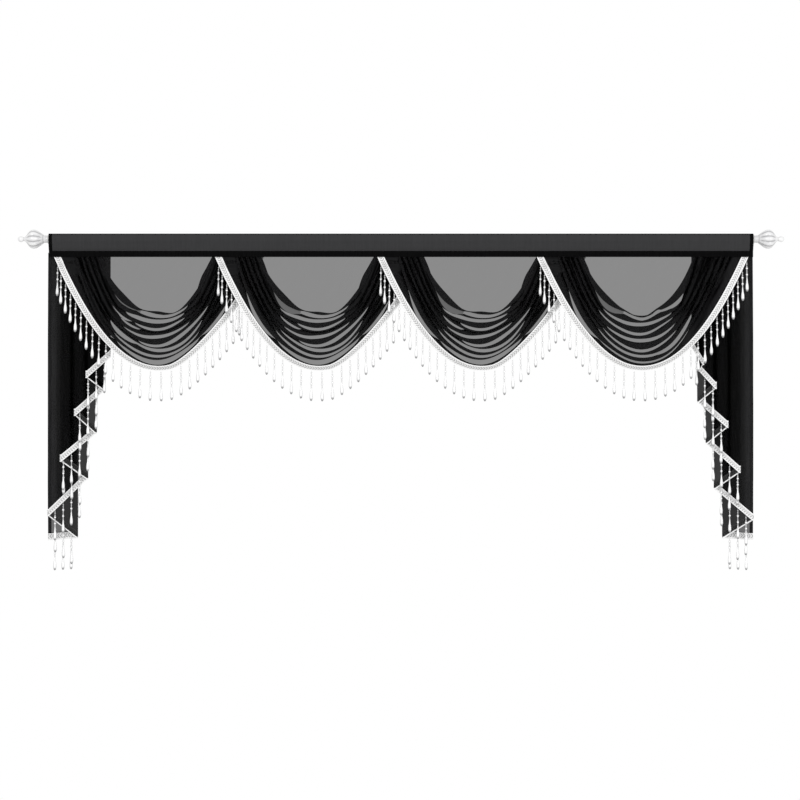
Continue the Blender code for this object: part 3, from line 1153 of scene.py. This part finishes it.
            # Painted shade where the ply comes out from under the edge in front of it.
            creases.append(1.0 - smooth(shown, 0.0, self.shade_reach))
            slots += [np.where((k == 2) & (along[:-1] < self.wedge), 2, k % 2)] * steps
        rows.append(turns[-1][0][None])
        reliefs.append(turns[-1][1] + 0.0 * along[None])
        creases.append(0.0 * along[None])
        rows = np.concatenate(rows)
        points = self.place(rows, along, np.concatenate(reliefs))
        inner = points[1:-1]
        points[1:-1] = 0.5 * inner + 0.25 * (points[:-2] + points[2:])
        x, fall = points[..., 0] - self.centre, self.top_z - points[..., 2]
        points[..., 1] += self.creases.depth(x, fall, self.wave)
        flat = np.stack((run_length(points, axis=1), run_length(points, axis=0)), axis=-1)
        quads = grid_faces(*points.shape[:2])
        # The grey share is painted shade in these creases and in the pleat valleys.
        grey = np.maximum(np.concatenate(creases), self.valleys.shade(rows, along))
        return Surface(points, quads, flat, grey=grey, slots=np.concatenate(slots))

    def braid_edges(self, along: np.ndarray) -> tuple[np.ndarray, np.ndarray, np.ndarray]:
        """Sets the braid along the hem: square to it, tipped back in the middle.

        Args:
            along: places along the hem.

        Returns:
            Upper edge, lower edge and unit directions to the face side.
        """
        shifts = (-self.tangent_step, 0.0, self.tangent_step)
        places = [np.clip(along + shift, -1.0, 1.0) for shift in shifts]
        hem = [self.place(self.hem_row(each), each, self.hem_relief) for each in places]
        tangent = unit(hem[2] - hem[0])
        back = np.array((0.0, 1.0, 0.0))
        down = unit(np.cross(back, tangent))
        middle = np.maximum(0.0, 1.0 - np.abs(along) / self.tilt_reach)
        tilt = self.braid_tilt * middle**self.tilt_power
        fall = unit(down * np.cos(tilt)[:, None] + back * np.sin(tilt)[:, None])
        out = unit(np.cross(fall, tangent))
        out = out * np.where(out[:, 1:2] > 0.0, -1.0, 1.0)
        upper = hem[1] - fall * self.braid_lap + out * self.braid_off
        return upper, hem[1] + fall * self.braid_width, out

    def strand_feet(self) -> tuple[np.ndarray, np.ndarray]:
        """Spaces the bead strands evenly along the braid's lower edge.

        Returns:
            Where each leaves the braid, and how far its tip leans.
        """
        fine = np.linspace(-1.0, 1.0, self.strand_steps)
        lower = self.braid_edges(fine)[1]
        length = run_length(lower)
        stop = min(self.strand_share * length[-1], length[-1] - self.last_strand)
        middles = np.arange(self.first_strand, length[-1], self.strand_pitch)
        places = np.interp(middles[middles < stop], length, fine)
        _, feet, _ = self.braid_edges(places)
        slope = np.gradient(lower[:, 2], lower[:, 0])
        splay = self.strand_splay * np.sign(np.interp(places, fine, slope))
        leans = np.stack((splay, np.full(len(places), -self.strand_lean), 0.0 * places), axis=-1)
        return feet, leans

    def build(self, finishes: Finishes) -> None:
        """Makes the swag's cloth, braid and bead strands.

        Args:
            finishes: the materials.
        """
        node = f"swag_{self.number}"
        plies = [finishes.voile, finishes.folded, finishes.wedge]
        cloth = hold(self.cloth().add(f"cloth_{node}", plies), "voile", node)
        edges = self.braid_edges(np.linspace(-1.0, 1.0, self.braid_steps))
        braid = Braid().weave(f"braid_{node}", *edges, finishes.braid)
        hold(braid, "braid", f"trim_{node}")
        beads = Strand().hang(f"beads_{node}", *self.strand_feet(), finishes.beads)
        hold(beads, "beads", f"trim_{node}")


@dataclass
class Tail:
    """A cascade tail: upright zigzag plies with a stepped slanting hem.

    Corners are (reach from the middle, hem height), the front ply first. A ply's
    rank is its number, 0 at the front, and a turn's lies between those of its plies.
    """

    side: Side
    corners: tuple[tuple[float, float], ...]
    flat_width: float
    flat_height: float = 0.82
    flat_mean_height: float = 0.56
    # Heights and depths, from the plies pressed together to the hung ones.
    top_z: float = -0.038
    heel_z: float = -0.0526
    hang_z: float = -0.070
    spread_z: float = -0.280
    top_y: float = 0.0047
    hang_y: float = 0.0100
    top_pitch: float = 0.0015
    turn_back: float = 0.0046
    turn_front: float = 0.0085
    # Reaches: the outer limit, and how much wider a ply is further back.
    half_width: float = 1.0
    outward: float = 0.0
    widening: float = 0.147
    widening_y: float = 0.010
    # Sway and ripples of the plies.
    wave: float = 0.0015
    wave_turn: float = 2.3
    wave_start: float = 0.7
    wave_down: float = 6.0
    wave_reach: float = 0.25
    wave_fade: tuple[float, ...] = (0.75, 1.0)
    ripple: float = 0.0006
    ripple_across: float = 230.0
    ripple_down: float = 19.0
    ripple_turn: float = 1.3
    # The braid, and where the cloth ends behind it.
    braid_height: float = 0.021
    braid_off: float = 0.0011
    cloth_foot: float = 0.0045
    last_foot: float = 0.0190
    # The narrow hem at the last ply's side.
    side_hem: float = 0.010
    side_turn: float = 0.0012
    side_reaches: tuple[float, ...] = (1.0, 0.05)
    side_ranks: tuple[float, ...] = (0.4, 0.8)
    # Steps of the mesh.
    ply_columns: int = 14
    turn_columns: int = 6
    rows: int = 120
    # The bead strands along the braid.
    strand_step: float = 0.0232
    strand_edge: float = 0.003
    strand_shift: tuple[float, ...] = (0.005, 0.0046)
    lean_front: float = 0.0034
    lean_back: float = -0.0012
    # The grey share: painted shade on the lapped plies and in their creases.
    light_edge: tuple[float, ...] = (0.955, 0.985)
    dark: float = 0.72
    crease_pitch: float = 0.040
    crease_at: float = 0.017
    crease_power: int = 5

    def plan(self) -> tuple[np.ndarray, ...]:
        """The zigzag seen from above, with round turns.

        Each ply is straight. Each turn is a half ellipse as deep as the gap
        between its two plies and half that wide.

        Returns:
            Reach, hem height, depth, rank and ply number of each column.
        """
        reach, hem, depth, rank, ply = [], [], [], [], []
        at = 0.0
        count = len(self.corners) - 1
        for k in range(count):
            (start, high), (stop, low) = self.corners[k], self.corners[k + 1]
            turn = self.turn_back if k % 2 == 0 else self.turn_front
            before = self.turn_front if k % 2 == 0 else self.turn_back
            outward = 1.0 if stop > start else -1.0
            first = start + outward * (0.5 * before if k else 0.0)
            last = stop - outward * (0.5 * turn if k + 1 < count else 0.0)
            share = np.linspace(0.0, 1.0, self.ply_columns)
            reach.append(first + (last - first) * share)
            hem.append(high + (low - high) * share)
            depth.append(np.full(len(share), at))
            rank.append(np.full(len(share), float(k)))
            ply.append(np.full(len(share), k))
            if k + 1 < count:
                angle = np.linspace(0.0, math.pi, self.turn_columns + 2)[1:-1]
                reach.append(last + outward * 0.5 * turn * np.sin(angle))
                hem.append(np.full(len(angle), low))
                depth.append(at + turn * (0.5 - 0.5 * np.cos(angle)))
                rank.append(k + (0.5 - 0.5 * np.cos(angle)))
                ply.append(np.where(angle < 0.5 * math.pi, k, k + 1))
                at += turn
        return tuple(np.concatenate(each) for each in (reach, hem, depth, rank, ply))

    def spaced(self, reach: np.ndarray, y: np.ndarray) -> np.ndarray:
        """Reach of a place, wider for a ply that hangs further back."""
        return reach * (1.0 + self.widening * (y - self.widening_y)) + self.outward

    def depth_at(self, depth: np.ndarray, rank: np.ndarray, z: np.ndarray) -> np.ndarray:
        """Hangs the plies pressed together at the top and spread lower down.

        Args:
            depth: how far back each ply is where they are spread.
            rank: each ply's number.
            z: heights.

        Returns:
            Y at each height.
        """
        spread = np.clip((self.hang_z - z) / (self.hang_z - self.spread_z), 0.0, 1.0)
        hang = np.clip((self.heel_z - z) / (self.heel_z - self.hang_z), 0.0, 1.0)
        packed = self.top_pitch * rank
        front = self.top_y + (self.hang_y - self.top_y) * hang
        return front + packed + (depth - packed) * spread

    def cloth(self) -> Surface:
        """Hangs the sheet: rows run from the top down to each column's own hem height.

        The last ply's side is turned in by a narrow hem. Low down the plies sway
        and ripple by sines of their number and height.

        Returns:
            The sheet: slot 0 the last ply, 1 the plies that lap and 2 the first two.
        """
        still = np.zeros(2)
        inward = -self.side_hem * np.array(self.side_reaches)
        behind = self.side_turn * np.array((0.5, 1.0))
        hemmed = (inward, still, behind, np.array(self.side_ranks), still)
        reach, hem, depth, rank, ply = (
            np.concatenate((line, line[-1] + more)) for line, more in zip(self.plan(), hemmed)
        )
        last = ply.max()
        share = np.linspace(0.0, 1.0, self.rows)[:, None]
        foot = np.where(ply == last, self.last_foot, self.cloth_foot)
        z = self.top_z + share * (hem + foot - self.top_z)
        low = np.clip((self.spread_z - z) / self.wave_reach, 0.0, 1.0)
        low = low * (1.0 - smooth(share, *self.wave_fade))
        sway = np.sin(self.wave_turn * ply + self.wave_start + self.wave_down * z)
        y = self.depth_at(depth, rank, z)
        phase = self.ripple_across * reach + self.ripple_down * z + self.ripple_turn * ply
        y = y + self.ripple * np.sin(phase) * low
        x = self.spaced(np.minimum(reach + self.wave * sway * low, self.half_width), y)
        points = np.stack((self.side.sign * x, y, z), axis=-1)
        across = run_length(points, axis=1)[-1:] + 0.0 * z
        flat = np.stack((across, run_length(points, axis=0)), axis=-1)
        # Painted shade: darker away from the light outer edge, with a soft crease line every
        # crease pitch.
        turn = WHOLE_TURN * (reach - self.light_edge[0] - self.crease_at) / self.crease_pitch
        crease = (0.5 + 0.5 * np.cos(turn)) ** self.crease_power
        shaded = self.dark * (1.0 - smooth(reach, *self.light_edge))
        grey = shaded + (1.0 - self.dark) * crease + 0.0 * z
        slots = np.where(ply[:-1] < 2, 2, np.where(ply[:-1] < last, 1, 0))
        return Surface(
            points,
            grid_faces(*points.shape[:2])[:, :: self.side.sign],
            flat,
            grey=grey,
            slots=np.tile(slots, (self.rows - 1, 1)),
        )

    def braid_runs(self) -> list[tuple[np.ndarray, np.ndarray, np.ndarray]]:
        """Lays the braid's two runs: over the zigzag's face, and behind the last ply.

        Returns:
            For each run its upper edge, lower edge and unit directions to the face.
        """
        reach, hem, depth, rank, ply = self.plan()
        y = self.depth_at(depth, rank, hem + self.braid_height)
        x = self.side.sign * self.spaced(reach, y)
        along = np.stack((np.gradient(x), np.gradient(y), 0.0 * x), axis=-1)
        out = unit(np.stack((along[:, 1], -along[:, 0], 0.0 * x), axis=-1)) * self.side.sign
        line = np.stack((x, y, hem), axis=-1) + out * self.braid_off
        lift = np.array((0.0, 0.0, self.braid_height))
        last = ply == ply.max()
        behind = np.stack((x, y + self.braid_off, hem), axis=-1)[last]
        back = np.tile((0.0, 1.0, 0.0), (int(last.sum()), 1))
        return [(line[~last] + lift, line[~last], out[~last]), (behind + lift, behind, back)]

    def strand_feet(self) -> tuple[np.ndarray, np.ndarray]:
        """Spaces each ply's bead strands evenly, half a step off those of the ply before.

        Returns:
            Where each leaves the braid, and how far its tip leans.
        """
        feet, leans = [], []
        depth = 0.0
        for k, ((start, high), (stop, low)) in enumerate(zip(self.corners, self.corners[1:])):
            near, far = sorted((start, stop))
            shift = self.strand_shift[k % 2]
            first = math.ceil((near + self.strand_edge - shift) / self.strand_step)
            last = math.floor((far - self.strand_edge - shift) / self.strand_step)
            reach = shift + self.strand_step * np.arange(first, last + 1)
            z = high + (low - high) * (reach - start) / (stop - start)
            y = self.depth_at(depth, float(k), z + self.braid_height)
            lean = self.lean_front if k % 2 == 0 else self.lean_back
            feet.append(np.stack((self.side.sign * self.spaced(reach, y), y, z), axis=-1))
            leans.append(np.tile((0.0, -lean, 0.0), (len(reach), 1)))
            depth += self.turn_back if k % 2 == 0 else self.turn_front
        return np.concatenate(feet), np.concatenate(leans)

    def build(self, finishes: Finishes) -> None:
        """Makes the tail's cloth, braid and bead strands.

        Args:
            finishes: the materials.
        """
        node = f"tail_{self.side.label}"
        plies = [finishes.tail, finishes.lapped, finishes.folded]
        cloth = hold(self.cloth().add(f"cloth_{node}", plies), "voile", node)
        for part, edges in zip(("steps", "foot"), self.braid_runs()):
            braid = Braid().weave(f"braid_{node}_{part}", *edges, finishes.braid)
            hold(braid, "braid", f"trim_{node}")
        beads = Strand().hang(f"beads_{node}", *self.strand_feet(), finishes.beads)
        hold(beads, "beads", f"trim_{node}")


@dataclass
class Heading:
    """The rod pocket and the double band below it, with stitches along the seam."""

    half_width: float = 1.0
    radius: float = 0.0158
    wrap: float = math.radians(28)
    arc_steps: int = 33
    seam_z: float = -0.0335
    bottom_z: float = -0.0506
    band_half: float = 0.0011
    band_steps: int = 7
    throat_steps: int = 12
    throat_power: float = 0.8
    side_hem: float = 0.0105
    edge_rise: float = 0.0138
    columns: int = 460
    wave_top: tuple[float, ...] = (0.004, -0.012)
    wave_foot: float = 0.008
    wave: float = 0.0004
    wave_rest: float = 1.6
    waves: tuple[tuple[float, float, float], ...] = ((5.3, 0.8, 1.0), (12.7, 0.0, 0.6))
    ripple: float = 0.00025
    ripple_turns: tuple[float, ...] = (83.0, 211.0)
    wander: float = 2.0
    wander_turn: float = 9.0
    # The stitches.
    stitch_pitch: float = 0.0034
    stitch_length: float = 0.0024
    stitch_radius: float = 0.00022
    stitch_off: float = 0.0002
    stitch_inset: float = 0.002
    stitch_profile: tuple[tuple[float, float], ...] = (
        (-0.5, 0.0), (-0.42, 1.0), (0.42, 1.0), (0.5, 0.0),
    )

    def profile(self) -> np.ndarray:
        """Follows the sleeve from its front bottom edge over the rod to the back one.

        The band is flat, the pocket is an arc round the rod, and the throat
        between them bows out by a power of the way up.

        Returns:
            Rows of depth and height.
        """
        angles = np.linspace(-self.wrap, math.pi + self.wrap, self.arc_steps)
        arc = np.stack((-self.radius * np.cos(angles), self.radius * np.sin(angles)), axis=-1)
        band = np.linspace(self.bottom_z, self.seam_z, self.band_steps)
        front = np.stack((0.0 * band - self.band_half, band), axis=-1)
        share = np.linspace(0.0, 1.0, self.throat_steps)[1:-1, None]
        bowed = np.concatenate((share**self.throat_power, share), axis=1)
        left = np.concatenate((front, front[-1] + (arc[0] - front[-1]) * bowed))
        right = left[::-1] * np.array((-1.0, 1.0))
        return np.concatenate((left, arc, right))

    def sleeve(self, finishes: Finishes) -> bpy.types.Object:
        """Carries the profile along the rod, with sines as soft waves in its faces.

        A wave is (radians a metre, phase, height), and the fine ripples wander.

        Args:
            finishes: the materials.

        Returns:
            The sleeve, its edges and band in the seams' closer cloth, darkened by painted shade.
        """
        profile = self.profile()
        x = np.linspace(-self.half_width, self.half_width, self.columns)
        inside = self.half_width - self.side_hem
        x = np.sort(np.concatenate((x, (-inside, inside))))
        y = profile[:, 0, None] + 0.0 * x
        z = profile[:, 1, None] + 0.0 * x
        low = smooth(z, *self.wave_top) * smooth(z, self.seam_z, self.seam_z + self.wave_foot)
        sway = self.wave_rest + sum(
            high * np.sin(turns * x + phase) for turns, phase, high in self.waves
        )
        near, far = self.ripple_turns
        fine = np.sin(near * x + self.wander * np.sin(self.wander_turn * x))
        fine = fine + 0.5 * np.sin(far * x)
        y = y + np.sign(y) * low * (self.wave * sway + self.ripple * fine)
        points = np.stack((x + 0.0 * y, y, z), axis=-1)[::-1]
        flat = np.stack((x + 0.0 * y, run_length(points, axis=0)), axis=-1)
        quads = grid_faces(*points.shape[:2])
        centre = points.reshape(-1, 3)[quads].mean(axis=1)
        side = np.abs(centre[:, 0]) > inside
        # The top edge, side hems and band below the seam take the seamed voile, whose near-black
        # is painted shade.
        edge = (centre[:, 2] > self.edge_rise) | (centre[:, 2] < self.seam_z) | side
        surface = Surface(points, quads, flat, slots=np.where(edge, 1, 0))
        return surface.add("heading_sleeve", [finishes.heading, finishes.seam])

    def stitches(self, finishes: Finishes) -> bpy.types.Object:
        """Sews a line of short threads along the seam, front and back.

        A stitch is its profile, as shares of its length and radius, turned round X.

        Args:
            finishes: the materials.

        Returns:
            The stitches as one piece.
        """
        end = self.half_width - self.stitch_inset
        x = np.arange(-end, end, self.stitch_pitch)
        along, radius = (line[:, None] for line in np.array(self.stitch_profile).T)
        angles = np.linspace(0.0, WHOLE_TURN, 5)
        round_it = (self.stitch_radius * radius * turn(angles) for turn in (np.cos, np.sin))
        one = np.stack((self.stitch_length * along + 0.0 * angles, *round_it), axis=-1)
        one = one.reshape(-1, 3)
        off = self.band_half + self.stitch_off
        places = [np.stack((x, 0.0 * x + y, 0.0 * x + self.seam_z), axis=-1) for y in (-off, off)]
        places = np.concatenate(places)
        starts = np.arange(len(places)) * len(one)
        surface = Surface(
            points=one[None] + places[:, None],
            quads=(grid_faces(len(along), 5)[None] + starts[:, None, None]).reshape(-1, 4),
            flat=np.tile(one[:, :2], (len(places), 1)),
            weld=True,
        )
        return surface.add("seam_stitches", [finishes.seam])

    def build(self, finishes: Finishes) -> None:
        """Makes the sleeve and its seam.

        Args:
            finishes: the materials.
        """
        sleeve = hold(self.sleeve(finishes), "voile", "heading")
        stitches = hold(self.stitches(finishes), "voile")


@dataclass
class Finial:
    """A fluted bulb with a collar and a tip ball, on one end of the rod.

    The profile is (reach from the rod's end, radius), from the collar to the tip.
    """

    side: Side
    rod_half: float = 1.0026
    flutes: int = 10
    flute_depth: float = 0.10
    flute_power: float = 0.7
    steps: int = 120
    around: int = 120
    profile: tuple[tuple[float, float], ...] = (
        (0.0003, 0.0000), (0.0003, 0.0100), (0.0055, 0.0100), (0.0060, 0.0108), (0.0068, 0.0102),
        (0.0110, 0.0108), (0.0135, 0.0128), (0.0165, 0.0152), (0.0205, 0.0183), (0.0260, 0.0222),
        (0.0310, 0.0253), (0.0365, 0.0273), (0.0410, 0.0277), (0.0460, 0.0268), (0.0510, 0.0238),
        (0.0555, 0.0185), (0.0600, 0.0120), (0.0640, 0.0070), (0.0675, 0.0052), (0.0700, 0.0056),
        (0.0740, 0.0080), (0.0780, 0.0084), (0.0820, 0.0065), (0.0848, 0.0035), (0.0860, 0.0000),
    )
    fluted: tuple[float, ...] = (0.0120, 0.0230, 0.0560, 0.0640)
    shaded: tuple[float, ...] = (0.010, 0.040)
    shade: float = 0.3
    valley_shade: float = 0.95
    valley_power: float = 1.3
    neck_shade: float = 0.5
    necks: tuple[tuple[float, float], ...] = ((0.0132, 0.0008), (0.0680, 0.0012))

    def build(self, finishes: Finishes) -> None:
        """Turns the profile, then presses the flutes in between the petals.

        The radius is the profile's times 1 - depth (1 - |cos|^power), where the
        cosine goes through half a turn at each petal, so the valleys are sharp. The
        grey share is painted shade: a power of the same press, more near the collar,
        with a line at each neck.

        Args:
            finishes: the materials.
        """
        start = np.linspace(0.0, 1.0, len(self.profile))
        fine = np.linspace(0.0, 1.0, self.steps)
        reach, radius = (np.interp(fine, start, line) for line in zip(*self.profile))
        reach[1:-1] = 0.5 * reach[1:-1] + 0.25 * (reach[:-2] + reach[2:])
        radius[2:-1] = 0.5 * radius[2:-1] + 0.25 * (radius[1:-2] + radius[3:])
        angle = np.linspace(0.0, WHOLE_TURN, self.around + 1)
        low, full, fading, gone = self.fluted
        share = smooth(reach, low, full) * (1.0 - smooth(reach, fading, gone))
        valley = 1.0 - np.abs(np.cos(0.5 * self.flutes * angle)) ** self.flute_power
        press = share[:, None] * valley[None, :]
        r = radius[:, None] * (1.0 - self.flute_depth * press)
        x = self.side.sign * (self.rod_half + reach)[:, None] + 0.0 * r
        points = np.stack((x, -r * np.cos(angle), r * np.sin(angle)), axis=-1)
        flat = np.broadcast_arrays(angle[None, :] / WHOLE_TURN, reach[:, None])
        # Painted shade near the collar and in a line at each neck.
        shade = self.shade * (1.0 - smooth(reach, *self.shaded))
        for neck, half in self.necks:
            shade = shade + self.neck_shade * np.exp(-(((reach - neck) / half) ** 2))
        grey = self.valley_shade * press**self.valley_power + shade[:, None]
        surface = Surface(
            points=points,
            quads=grid_faces(len(reach), self.around + 1),
            flat=np.stack(flat, axis=-1),
            grey=np.clip(grey, 0.0, 1.0),
            weld=True,
        )
        piece = surface.add(f"bulb_{self.side.label}", [finishes.pearl])
        hold(piece, "finial", f"finial_{self.side.label}")


class Lamp(NamedTuple):
    """A square soft light: its place, what it looks at, its width and its watts."""

    name: str
    place: tuple[float, float, float]
    aim: tuple[float, float, float]
    size: float
    power: float


@dataclass
class Studio:
    """Pale floor, soft lights, white surround and the camera."""

    floor_z: float = -2.30
    floor_half: float = 3.6
    floor_clouds: float = 1.5
    lamps: tuple[Lamp, ...] = (
        Lamp("Key", (-2.6, -4.6, 1.9), (0.0, 0.0, -0.35), 2.6, 88.0),
        Lamp("Fill", (3.0, -4.2, 0.2), (0.0, 0.0, -0.4), 3.0, 72.0),
    )
    surround_light: float = 0.72
    camera_at: tuple[float, ...] = (-0.0028, -8.52, -0.4568)
    lens: float = 135.0
    sensor: float = 36.0

    def floor(self) -> None:
        """Lays a pale square floor far below the valance."""
        side = np.linspace(-self.floor_half, self.floor_half, 9)
        x, y = np.meshgrid(side, side)
        points = np.stack((x, y, 0.0 * x + self.floor_z), axis=-1)
        board = NodeBoard("Pale floor")
        cloud = board.noise(board.place(flat=False), self.floor_clouds, 3.0)
        pale = board.ramp(cloud, ((0.3, tone(0.80, -0.01)), (0.7, tone(0.84, -0.01))))
        board.join(pale, "Base Color")
        board.set(Roughness=0.9)
        surface = Surface(points, grid_faces(9, 9)[:, ::-1], points[..., :2])
        surface.add("floor", [board.material])

    def light(self, lamp: Lamp) -> None:
        """Hangs an area light that looks at a point.

        Args:
            lamp: the light's facts.
        """
        light = bpy.data.lights.new(lamp.name, "AREA")
        light.size = lamp.size
        light.energy = lamp.power
        item = bpy.data.objects.new(lamp.name, light)
        item.location = lamp.place
        towards = Vector(lamp.aim) - Vector(lamp.place)
        item.rotation_euler = towards.to_track_quat("-Z", "Y").to_euler()
        bpy.context.scene.collection.objects.link(item)

    def surround(self) -> None:
        """Makes the surround white to look at and softer as a light."""
        world = bpy.data.worlds.new("Surround")
        world.use_nodes = True
        nodes, links = world.node_tree.nodes, world.node_tree.links
        back = nodes["Background"]
        back.inputs["Color"].default_value = (1.0, 1.0, 1.0, 1.0)
        path = nodes.new("ShaderNodeLightPath")
        strength = nodes.new("ShaderNodeMapRange")
        strength.inputs["To Min"].default_value = self.surround_light
        strength.inputs["To Max"].default_value = 1.0
        links.new(path.outputs["Is Camera Ray"], strength.inputs["Value"])
        links.new(strength.outputs["Result"], back.inputs["Strength"])
        bpy.context.scene.world = world

    def camera(self) -> None:
        """Aims a long lens square to the front, level with the middle of the view."""
        data = bpy.data.cameras.new("Camera")
        data.lens = self.lens
        data.sensor_width = self.sensor
        item = bpy.data.objects.new("Camera", data)
        item.location = self.camera_at
        item.rotation_euler = (math.radians(90), 0.0, 0.0)
        bpy.context.scene.collection.objects.link(item)
        bpy.context.scene.camera = item

    def build(self) -> None:
        """Sets up everything that isn't the valance."""
        self.floor()
        for lamp in self.lamps:
            self.light(lamp)
        self.surround()
        self.camera()
        bpy.context.scene.view_settings.view_transform = "Standard"


# The tails' corners: reach from the middle and height of the hem, front ply first.
LEFT_CORNERS = (
    (0.8225, -0.3346), (0.8921, -0.3943), (0.8372, -0.4312), (0.9247, -0.5022), (0.8608, -0.5534),
    (0.9645, -0.6330), (0.8852, -0.6841), (1.0000, -0.7892), (0.9137, -0.8517), (0.9990, -0.8574),
)
RIGHT_CORNERS = (
    (0.8255, -0.3062), (0.8602, -0.3574), (0.8436, -0.3759), (0.8957, -0.4256), (0.8415, -0.4653),
    (0.9287, -0.5364), (0.8650, -0.5830), (0.9631, -0.6653), (0.8878, -0.7125), (1.0000, -0.8020),
    (0.9113, -0.8526), (0.9990, -0.8574),
)
# Each fold's row at the swag's knots, from its left end to its right one, and the
# gaps of single cloth above it. The last fold's edge is the hem.
LEFT_WEDGE_GAP = Gap(-0.78, -0.63, -0.46, 0.85, 1.0)
FOLDS = (
    Fold((4.4, 5.00, 3.95, 3.95, 4.15, 4.50, 4.1)),
    Fold(
        (4.9, 5.95, 5.00, 4.88, 5.03, 5.45, 5.1),
        (Gap(-0.68, -0.41, -0.24, 1.05, 1.1), Gap(-0.4, 0.0, 0.47, 0.58)),
    ),
    Fold((5.4, 6.60, 6.00, 5.97, 5.70, 6.05, 6.1), (Gap(-0.54, -0.2, 0.385, 0.42),)),
    Fold((5.9, 6.85, 6.63, 6.50, 6.20, 6.45, 6.6), (Gap(-0.29, -0.1, 0.37, 0.34),)),
    Fold((6.4, 7.80, 7.40, 6.95, 6.72, 6.90, 7.1), (Gap(-0.50, -0.37, -0.25, 0.32),)),
    Fold((7.0, 8.20, 8.08, 8.00, 7.45, 7.38, 8.0), (Gap(-0.42, 0.05, 0.40, 0.33),)),
    Fold((7.7, 8.65, 8.55, 8.87, 8.72, 7.95, 9.0), (Gap(-0.23, -0.04, 0.62, 0.46),)),
    Fold((8.2, 9.45, 9.70, 10.02, 9.68, 9.15, 10.0), (Gap(-0.44, 0.05, 0.52, 0.57),)),
    Fold((8.8, 11.15, 10.95, 10.95, 10.35, 10.60, 11.0), (Gap(-0.47, -0.22, 0.44, 0.48),)),
    Fold(
        (12.0,) * 7,
        (Gap(-0.42, 0.12, 0.43, 0.84), LEFT_WEDGE_GAP, Gap(0.47, 0.60, 0.74, 0.65, 0.9)),
    ),
)
FIRST_FOLDS = (
    FOLDS[0],
    FOLDS[1]._replace(gaps=(Gap(-0.66, -0.50, -0.32, 0.25, 1.0), Gap(-0.36, 0.0, 0.47, 0.58))),
    FOLDS[2]._replace(gaps=(Gap(-0.46, -0.2, 0.385, 0.50),)),
    FOLDS[3]._replace(gaps=(Gap(-0.72, -0.52, -0.37, 0.50, 1.0), Gap(-0.32, -0.1, 0.37, 0.34))),
    *FOLDS[4:7],
    Fold(
        (8.2, 10.05, 9.95, 10.02, 9.68, 9.15, 10.0),
        (Gap(-0.56, -0.44, -0.22, 0.95, 0.8), Gap(-0.3, 0.05, 0.52, 0.57)),
    ),
    *FOLDS[8:],
)
LAST_FOLDS = (
    Fold((4.4, 5.00, 3.96, 4.52, 3.90, 5.00, 5.3)),
    Fold(
        (4.9, 5.95, 5.55, 5.35, 5.27, 5.80, 5.1),
        (
            Gap(-0.68, -0.41, -0.24, 0.95, 1.1),
            Gap(-0.4, 0.0, 0.45, 0.54),
            Gap(0.30, 0.50, 0.69, 0.60),
        ),
    ),
    Fold((5.6, 6.80, 6.65, 6.61, 6.10, 6.50, 6.1), (Gap(-0.52, -0.1, 0.45, 0.36),)),
    Fold((6.4, 7.80, 7.50, 7.39, 7.35, 7.20, 7.1), (Gap(-0.55, -0.1, 0.44, 0.34),)),
    Fold((7.2, 8.20, 8.65, 9.04, 8.33, 7.75, 8.0), (Gap(-0.42, 0.05, 0.43, 0.32),)),
    Fold((8.0, 9.20, 9.80, 10.01, 9.75, 8.35, 9.0), (Gap(-0.44, 0.05, 0.42, 0.46),)),
    Fold(
        (8.6, 11.15, 11.00, 11.23, 11.10, 9.70, 10.0),
        (Gap(-0.47, 0.0, 0.40, 0.45), Gap(0.10, 0.40, 0.61, 0.78, 0.6)),
    ),
    Fold((12.0,) * 7, (Gap(-0.42, -0.1, 0.50, 0.30), LEFT_WEDGE_GAP)),
)


# A lapped swag's right side passes behind the next swag. The last one's stays in front.
LAPPED = {"right_y": 0.0130, "right_stack_y": 0.0023, "strand_share": 0.83, "hitch": 0.85}
SWAGS = (
    Swag(
        number=1,
        centre=-0.6864,
        window_left=0.172,
        window_right=0.160,
        hem_left=0.286,
        wave=0.0,
        folds=FIRST_FOLDS,
        **LAPPED,
    ),
    Swag(
        number=2,
        centre=-0.2321,
        window_left=0.173,
        window_right=0.165,
        wave=1.3,
        folds=FOLDS,
        **LAPPED,
    ),
    Swag(
        number=3,
        centre=0.2290,
        window_left=0.172,
        window_right=0.166,
        wave=2.9,
        folds=FOLDS,
        **LAPPED,
    ),
    Swag(
        number=4,
        centre=0.6821,
        window_left=0.173,
        window_right=0.153,
        window_lap=(0.2, 1.42, 0.17, 0.42, 0.17, 1.35, 1.3),
        hem_right=0.2915,
        last_strand=0.010,
        wave=4.1,
        folds=LAST_FOLDS,
        right_y=-0.0020,
        right_stack_y=0.0,
        strand_share=1.0,
        hitch=0.0,
    ),
)


def main() -> None:
    """Builds the valance from the rod forward, then the studio."""
    logging.basicConfig(level=logging.INFO, format="%(name)s %(message)s")
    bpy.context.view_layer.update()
    finishes = Finishes()
    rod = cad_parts["rod"]
    rod.data.materials.clear()
    rod.data.materials.append(finishes.paint)
    Heading().build(finishes)
    for side in Side:
        Finial(side).build(finishes)
    for swag in SWAGS:
        swag.build(finishes)
    Tail(Side.LEFT, LEFT_CORNERS, flat_width=0.80, outward=0.003).build(finishes)
    Tail(Side.RIGHT, RIGHT_CORNERS, flat_width=0.86).build(finishes)
    Studio().build()


if __name__ == "__main__":
    main()
